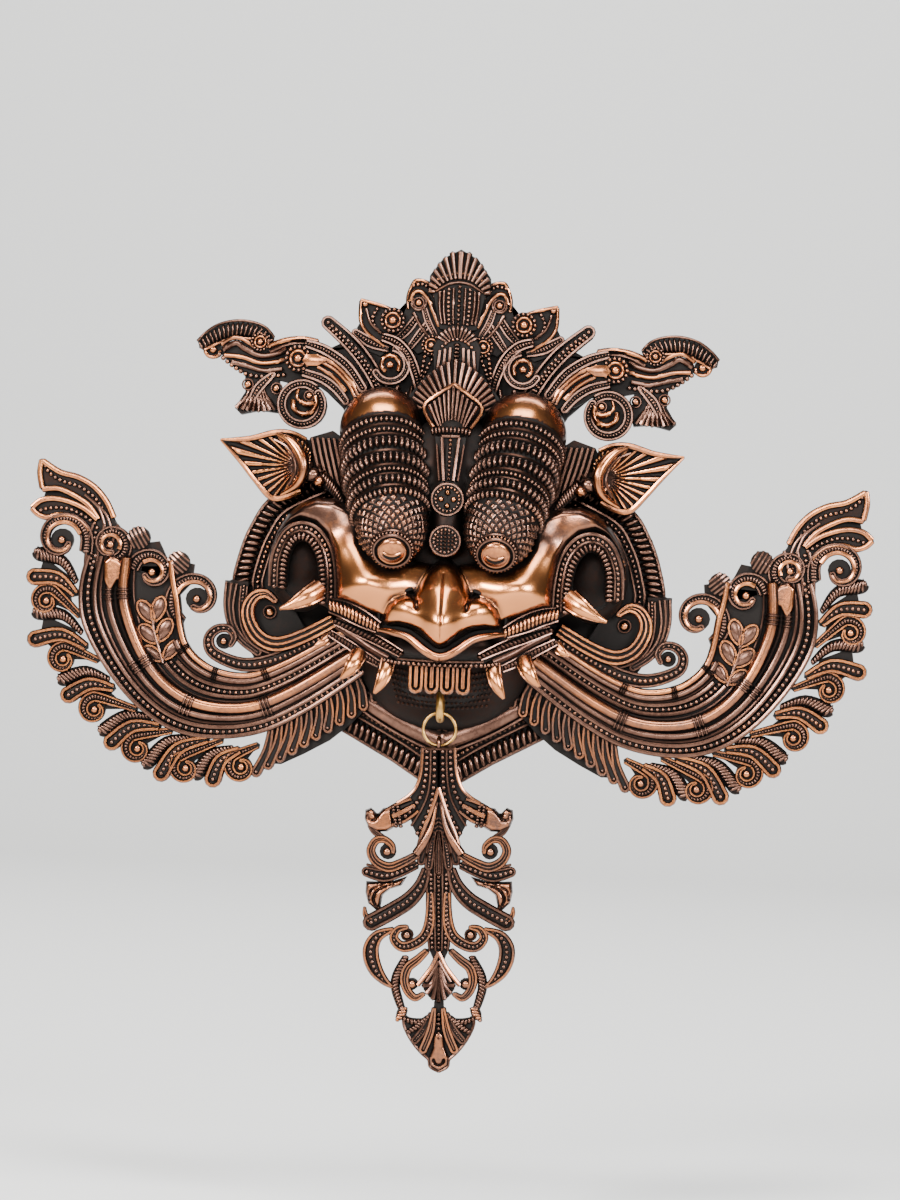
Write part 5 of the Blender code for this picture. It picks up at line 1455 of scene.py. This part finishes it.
def drop_carving():
    made = Carving()
    f = 3.0
    # Neck with four rows of beads
    slab(made, [(0, 0), (8.4, 0), (9.4, -15), (12.6, -24), (18, -30), (14, -44), (8, -56), (0, -62)], -3.4,
         f - 1.0)
    bar(made, [(8.7, 0), (9.6, -13), (12.4, -22), (17, -27), (22.5, -30.5)], f, 1.0, BRIGHT)
    for points in ([(2.2, -2), (2.4, -15), (3.2, -26), (5.8, -36), (11.4, -47)],
                   [(6.4, -2), (6.8, -14), (9.0, -25), (13.4, -32.5), (18.0, -37.6)]):
        bead_row(made, points, f - 0.3, 1.55, 1.1)
    for points in ([(4.3, -1), (4.5, -14), (5.8, -25), (9.4, -34), (14.8, -43)],
                   [(0.0, -1), (0.0, -14), (0.0, -22)]):
        bar(made, points, f, 0.8, RIM, sides=6)
    bar(made, [(0, -0.6), (8.6, -0.6)], f, 0.9, RIM)
    bar(made, [(0, -22), (2.2, -29), (5.2, -38), (9.2, -48), (11.6, -57)], f + 0.4, 1.2, BRIGHT)
    bar(made, [(1.0, -30), (3.0, -41), (5.6, -50), (6.8, -58)], f, 1.0, RIM)
    for index in range(6):
        z = -38.5 - 2.3 * index
        tube(made, [(0.2, -f - 0.2, z), (2.2 + 0.25 * index, -f - 0.2, z - 1.6)], 0.65, RIM, sides=6)
    blade = smooth_line([(1.2, -f, -30, 0.9), (3.4, -f - 0.6, -42, 1.6), (7.4, -f - 0.8, -51, 2.3),
                         (12.2, -f - 0.4, -58.4, 2.5)])
    tube(made, blade, blade[:, 3], BRIGHT, flat=0.8, sides=10)
    for tip, kind in (((9.4, -62.6), "rib"), ((5.4, -65.4), "beads"), ((0.2, -68.6), "rib")):
        ribbon(made, [(tip[0] * 0.40, -46), (tip[0] * 0.80, -56), tip], [1.6, 2.7, 2.5], f, fill=kind,
               rim=0.9)
    # Shoulder arms
    ribbon(made, [(13, -31.5), (20, -35.5), (25, -37.8)], [5.0, 6.2, 5.8], f, fill="rib", rim=1.1,
           rim_worn=BRIGHT)
    for x in (20.5, 23.0):
        milled(made, smooth_line(lift([(x + 1.6, -32.6), (x, -43.2)], f + 0.6)), 1.3, 1.9, 1.3)
    arm = [(25.2, -32.6), (30.4, -33.4), (33.4, -36.6), (36.6, -33.0), (40.0, -34.4), (40.4, -39.4),
           (38.6, -44.0), (33.6, -46.6), (28, -46.4), (23.6, -43.8)]
    relief(made, [(arm, 6.0, 2.6, flat_top(f + 1.6))], (22.0, -48.0, 42.0, -31.0), 0.5, BRIGHT,
           [([(33.2, -37.2), (34.6, -39.6), (37.4, -39.6), (38.4, -37.0)], 1.6, 0.8)])
    boss(made, 36.6, -35.8, 1.6, f + 0.6, ring=False)
    ribbon(made, [(37.6, -42.8), (34.6, -46.6), (30, -49.6)], [1.2, 1.8, 1.4], f - 0.4, rim=0.7, fill="rib")
    # Side scrolls
    line = [(11.0, -58.6), (19.5, -63.4), (27, -66), (33.8, -63.0), (36.8, -57), (34.2, -51.4), (29.6, -50.6),
            (25.4, -53.8), (24.6, -57.4)]
    ribbon(made, line, [2.2, 2.7, 2.9, 2.7, 2.5, 2.3, 2.1, 1.8, 1.4], f, fill="rib", rim=0.95,
           rim_worn=BRIGHT)
    boss(made, 28.0, -57.4, 2.4, f - 0.6, ring=False)
    round_slab(made, 27.6, -57.2, 4.6, -2.0, f - 1.4, sides=12)
    ribbon(made, [(12, -64.6), (22, -68.8), (30, -70.6), (39.0, -68.4)], [2.4, 3.2, 3.6, 3.0], f - 0.4,
           rim=0.8)
    bar(made, [(30, -66.8), (39.0, -64.4)], f - 0.4, 0.8, RIM)
    hook_leaf = [(17, -71.0), (25, -73.6), (33, -74.0), (39.6, -73.8), (40.0, -80), (38.6, -86),
                 (33.4, -90.6), (30.0, -92.4), (31.6, -87.4), (30.4, -81.6), (26.4, -78.2), (20.4, -76.4)]
    relief(made, [(hook_leaf, 5.4, 2.6, flat_top(f + 0.8))], (16.0, -93.0, 41.0, -70.0), 0.5, BRIGHT,
           [([(25, -75.6), (32.4, -78.0), (35.4, -83.0), (33.4, -88.6)], 1.8, 0.7),
            ([(31, -75.6), (36.8, -78.6), (38.0, -83.6)], 1.4, 0.6)])
    # Long beaded stem
    ribbon(made, [(6.6, -67), (9.6, -76), (16, -84), (25.4, -90.2), (36.6, -96.4)], [2.8, 3.9, 4.6, 4.8, 4.8],
           f, rim=1.2)
    ribbon(made, [(36.0, -96), (39.6, -92.6), (40.2, -88.4)], [1.6, 1.5, 0.9], f - 0.4, fill="none", rim=0.7,
           rim_worn=BRIGHT)
    # Middle column
    slab(made, [(0, -62), (6.4, -64), (6.0, -110), (0, -124)], -3.0, f - 1.2)
    bead_row(made, [(0, -69), (0, -110)], f, 1.15)
    bead_row(made, [(4.2, -70), (4.0, -90), (3.6, -110)], f, 1.15)
    for x in (2.1, 6.2):
        bar(made, [(x, -66), (x, -95), (x * 0.8, -112)], f, 0.75, RIM, sides=6)
    # Inner scrolls
    line = [(4.6, -80), (4.8, -95), (7.8, -104), (14.8, -109), (20.8, -109.4), (24.4, -104.8), (22, -100.2),
            (17.4, -99.0)]
    ribbon(made, line, [2.0, 2.9, 3.1, 3.1, 2.9, 2.5, 2.1, 1.5], f + 0.2, rim=0.9, rim_worn=BRIGHT)
    boss(made, 17.2, -103.2, 2.2, f)
    round_slab(made, 17.2, -103.2, 3.6, -2.0, f - 1.0, sides=10)
    bar(made, [(0, -112.6), (4, -121), (8.8, -127.6), (11.4, -131)], f, 1.3, BRIGHT)
    bar(made, [(0, -117.6), (2.8, -123), (6.6, -129)], f, 1.0, RIM)
    # Outer crescents
    line = [(24.6, -100.2), (32.6, -103.6), (36.4, -109.4), (36.6, -116), (34.0, -123), (29.6, -128.6),
            (25.4, -131.8)]
    ribbon(made, line, [1.4, 3.2, 4.2, 4.4, 3.8, 2.4, 1.2], f - 0.2, rim=1.0, rim_worn=BRIGHT)
    # Lower scrolls
    line = [(6.4, -112), (11.6, -117), (16.8, -121.4), (18.6, -128), (16.8, -134.2), (12.8, -138),
            (8.6, -136)]
    ribbon(made, line, [1.9, 2.5, 2.7, 2.6, 2.4, 2.1, 1.5], f, rim=0.95, fill="rib", rim_worn=BRIGHT)
    boss(made, 14.5, -130.4, 2.4, f - 0.4, ring=False)
    round_slab(made, 14.5, -130.4, 3.4, -2.0, f - 1.0, sides=10)
    # Milled side leaves and tulip
    rope(made, [(18, -115.6), (22.6, -125), (23.6, -132), (21.6, -140), (19, -147)],
         [2.0, 2.6, 2.6, 2.4, 1.8], f - 0.2, worn=RIM)
    slab(made, [(0, -116), (3.6, -121), (8.6, -128.6), (8.4, -133.4), (5.4, -137.6), (0, -141)], -3.0,
         f - 1.2)
    for tip in ((0.0, -140.0), (3.2, -138.6), (6.4, -135.4), (8.6, -131.0)):
        bar(made, [(tip[0] * 0.15, -121), (tip[0] * 0.45, -130), tip], f, np.linspace(0.7, 1.5, 9), RIM,
            sides=8, steps=4)
    rope(made, [(19.2, -144), (20.6, -147.6), (22.4, -150.2)], [2.6, 2.8, 1.2], f, worn=BRIGHT)
    slab(made, [(0, -138), (2.6, -140), (3.0, -150), (0, -152)], -3.0, f - 1.0)
    # Shell at the bottom: long round-ended leaves beside a middle leaf
    shell = [(0, -147), (4.6, -147.4), (9.0, -150.4), (14, -150.4), (18.8, -147.4), (19.0, -152.4),
             (16.8, -158), (13.4, -163.6), (9.4, -168.4), (5.6, -172), (4.6, -176), (0, -178.6)]
    slab(made, shell, -3.2, f - 1.0)
    bar(made, shell[4:], f - 0.6, 0.9, RIM)
    ribbon(made, [(2.4, -143.6), (4.4, -156), (8.4, -166.4)], [1.5, 2.5, 2.6], f + 0.4, fill="rib", rim=1.0,
           rim_worn=BRIGHT)
    ribbon(made, [(4.2, -146.6), (8.2, -155.4), (12.8, -161.4)], [1.5, 2.3, 2.4], f, rim=0.9)
    rope(made, [(6.0, -148.6), (11.2, -153.4), (16.2, -156.6)], [1.4, 2.2, 1.8], f, worn=RIM)
    rope(made, [(8.6, -150.6), (13.6, -151.4), (18.4, -149.6)], [1.4, 2.2, 1.4], f - 0.4, worn=RIM)
    leaf_half = [(0, -155), (2.8, -158.5), (3.4, -165), (5.4, -170.4), (4.8, -175.2), (0, -178.2)]
    leaf_line = leaf_half + [(-x, z) for x, z in leaf_half[-2:0:-1]]
    relief(made, [(leaf_line, 2.6, 1.8, flat_top(f + 1.6))], (0.0, -179.0, 6.0, -154.0), 0.4, BRIGHT,
           [([(0, -175.0), (1.8, -174.2), (2.8, -172.0)], 1.6, 0.7)])
    bead_row(made, [(0, -147), (0, -160)], f + 0.8, 1.2)
    # It hangs free and is rubbed less than the mask
    made.worn = [worn * 0.9 for worn in made.worn]
    return made


def hang(piece):
    """Carries the drop from its own place to the ring and swings it, a little shortened."""
    turn = Matrix.Translation((0.0, 0.0, (ring_centre[1] - ring_radius) * MM))
    carry = Matrix.Translation((0.0, -drop_plane * MM, drop_top * MM))
    shorten = Matrix.Scale(0.98, 4, (0.0, 0.0, 1.0))
    piece.data.transform(turn @ Matrix.Rotation(-drop_swing, 4, "Y") @ turn.inverted() @ carry @ shorten)


pendant = make_piece("drop_carving", drop_carving(), copper, back=-3.4)
hang(pendant)


# Hook, ring and the drop's lug

def finish_wire(name, material, worn=1.0):
    """Names the wire piece just made, puts its place into its mesh and gives it its wear."""
    piece = bpy.context.active_object
    piece.name = name
    piece.data.name = name
    bpy.ops.object.transform_apply(location=True, rotation=True, scale=True)
    bpy.ops.object.shade_smooth_by_angle(angle=math.radians(60.0))
    layer = piece.data.attributes.new("worn", "FLOAT", "POINT")
    layer.data.foreach_set("value", [worn] * len(piece.data.vertices))
    piece.data.materials.append(material)
    return piece


# The hook: a shank that comes down behind the ring, bends under it and ends in front
hook_bottom = -66.8
shank_top = -33.5
shank_low = -45.0
tip_rise = 9.0
bend_z = hook_bottom + hook_wire / 2.0 + hook_bend
hook_line = [(0.0, -(drop_plane - hook_bend), shank_top), (0.0, -(drop_plane - hook_bend), shank_low)]
hook_line += [(0.0, -drop_plane + hook_bend * math.cos(a), bend_z - hook_bend * math.sin(a))
              for a in np.linspace(0.0, math.pi, 18)]
hook_line += [(0.0, -(drop_plane + hook_bend), bend_z + tip_rise)]
hook_made = Carving()
tube(hook_made, hook_line, hook_wire / 2.0, 1.0, fronts=np.tile(SIDEWAYS, (len(hook_line), 1)), sides=20)
hook = make_piece("eye_hook_wire", hook_made, brass, only="right", angle=60.0)

# The ring faces the viewer
clear_selection()
bpy.ops.mesh.primitive_torus_add(location=(0.0, -drop_plane * MM, ring_centre[1] * MM),
                                 rotation=(math.pi / 2.0, 0.0, 0.0), major_segments=64, minor_segments=20,
                                 major_radius=ring_radius * MM, minor_radius=ring_wire / 2.0 * MM,
                                 generate_uvs=False)
ring = finish_wire("split_ring", brass)

# The lug stands edge on
lug_z = -77.9
lug_radius = 3.0
lug_wire = 2.4
clear_selection()
bpy.ops.mesh.primitive_torus_add(location=(0.0, -drop_plane * MM, lug_z * MM),
                                 rotation=(0.0, math.pi / 2.0, 0.0), major_segments=28, minor_segments=12,
                                 major_radius=lug_radius * MM, minor_radius=lug_wire / 2.0 * MM,
                                 generate_uvs=False)
lug = finish_wire("drop_lug", copper, SKIN)

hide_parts("mask")
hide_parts("pendant")
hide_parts("eye_hook")
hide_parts("ring")
for piece, slot in (
        (left_wing, "left_wing_copper"), (right_wing, "right_wing_copper"), (plate, "mask_copper"),
        (horns, "mask_copper"), (horn_relief, "mask_copper"), (head_ground, "mask_copper"),
        (face_skin, "mask_copper"), (face_relief, "mask_copper"), (ears, "mask_copper"),
        (crown, "mask_copper"), (pendant, "pendant_copper"), (lug, "pendant_copper"), (hook, "hook_brass"),
        (ring, "ring_brass")):
    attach(piece, "root")


# Studio: a pale floor, a pale sweep far behind, soft lights and the camera

floor_z = -0.34
floor_near = -6.0
floor_far = 4.4
floor_width = 14.0
sweep_radius = 1.2
sweep_top = 5.0


def stage():
    """The floor turns up into the pale wall far behind, in one sweep."""
    clear_selection()
    bpy.ops.mesh.primitive_plane_add(size=1.0, location=(0.0, (floor_near + floor_far) / 2.0, floor_z))
    floor = bpy.context.active_object
    floor.name = "pale_floor"
    floor.scale = (floor_width, floor_far - floor_near, 1.0)
    bpy.ops.object.transform_apply(location=True, rotation=True, scale=True)
    mesh = floor.data
    for edge in mesh.edges:
        edge.select = all(mesh.vertices[corner].co.y > floor_far - 0.01 for corner in edge.vertices)
    for vertex in mesh.vertices:
        vertex.select = vertex.co.y > floor_far - 0.01
    mesh.polygons[0].select = False
    bpy.ops.object.mode_set(mode="EDIT")
    bpy.ops.mesh.select_mode(type="EDGE")
    bpy.ops.mesh.extrude_edges_move(TRANSFORM_OT_translate={"value": (0.0, 0.0, sweep_top - floor_z)})
    bpy.ops.mesh.select_all(action="DESELECT")
    bpy.ops.object.mode_set(mode="OBJECT")
    for edge in mesh.edges:
        ends = [mesh.vertices[corner].co for corner in edge.vertices]
        edge.select = all(end.y > floor_far - 0.01 and end.z < floor_z + 0.01 for end in ends)
    bpy.ops.object.mode_set(mode="EDIT")
    bpy.ops.mesh.bevel(offset=sweep_radius, segments=11, profile=0.5, affect="EDGES")
    bpy.ops.object.mode_set(mode="OBJECT")
    bpy.ops.object.shade_smooth()
    paint = bpy.data.materials.new("pale_paper")
    paint.use_nodes = True
    shader = paint.node_tree.nodes["Principled BSDF"]
    shader.inputs["Base Color"].default_value = linear("#E6E6E4")
    shader.inputs["Roughness"].default_value = 0.9
    shader.inputs["Specular IOR Level"].default_value = 0.1
    mesh.materials.append(paint)


def softbox(name, place, target, size, watts, colour):
    """A soft light that looks at its target."""
    light = bpy.data.lights.new(name, "AREA")
    light.shape = "RECTANGLE"
    light.size = size[0]
    light.size_y = size[1]
    light.energy = watts
    light.color = colour
    holder = bpy.data.objects.new(name, light)
    bpy.context.scene.collection.objects.link(holder)
    holder.location = place
    holder.rotation_euler = (Vector(target) - Vector(place)).to_track_quat("-Z", "Y").to_euler()


stage()
world = bpy.data.worlds.new("studio")
bpy.context.scene.world = world
world.use_nodes = True
world.node_tree.nodes["Background"].inputs["Color"].default_value = linear("#D9E0EA")
world.node_tree.nodes["Background"].inputs["Strength"].default_value = 0.10
softbox("key_left", (-1.3, -1.85, 0.95), (0, 0, 0), (0.7, 0.6), 104.0, (1.0, 0.98, 0.96))
softbox("key_right", (1.4, -1.7, 0.65), (0, 0, 0), (0.55, 0.7), 76.0, (0.95, 0.97, 1.0))
softbox("front_fill", (-0.05, -2.3, 0.45), (0, 0, 0), (0.8, 0.5), 30.0, (1.0, 1.0, 1.0))
softbox("top_light", (0.0, -0.95, 1.6), (0, 0, 0.05), (1.3, 0.7), 42.0, (1.0, 0.99, 0.97))
softbox("sweep_light", (0.0, 1.0, 2.6), (0.0, 3.6, 0.4), (3.0, 1.0), 190.0, (1.0, 1.0, 1.0))

camera_data = bpy.data.cameras.new("photo_camera")
camera_data.lens = 137.0
camera_data.sensor_width = 36.0
camera = bpy.data.objects.new("photo_camera", camera_data)
bpy.context.scene.collection.objects.link(camera)
# The photograph is taken a little from the right, and the mask hangs rolled clockwise in it
target = Vector((0.0016, -0.02, 0.0))
azimuth = math.radians(2.5)
roll = math.radians(2.3)
distance = 2.5
camera.location = target + Vector((math.sin(azimuth) * distance, -math.cos(azimuth) * distance, 0.0))
facing = (target - camera.location).to_track_quat("-Z", "Y").to_matrix().to_4x4()
camera.rotation_euler = (facing @ Matrix.Rotation(roll, 4, "Z")).to_euler()
bpy.context.scene.camera = camera
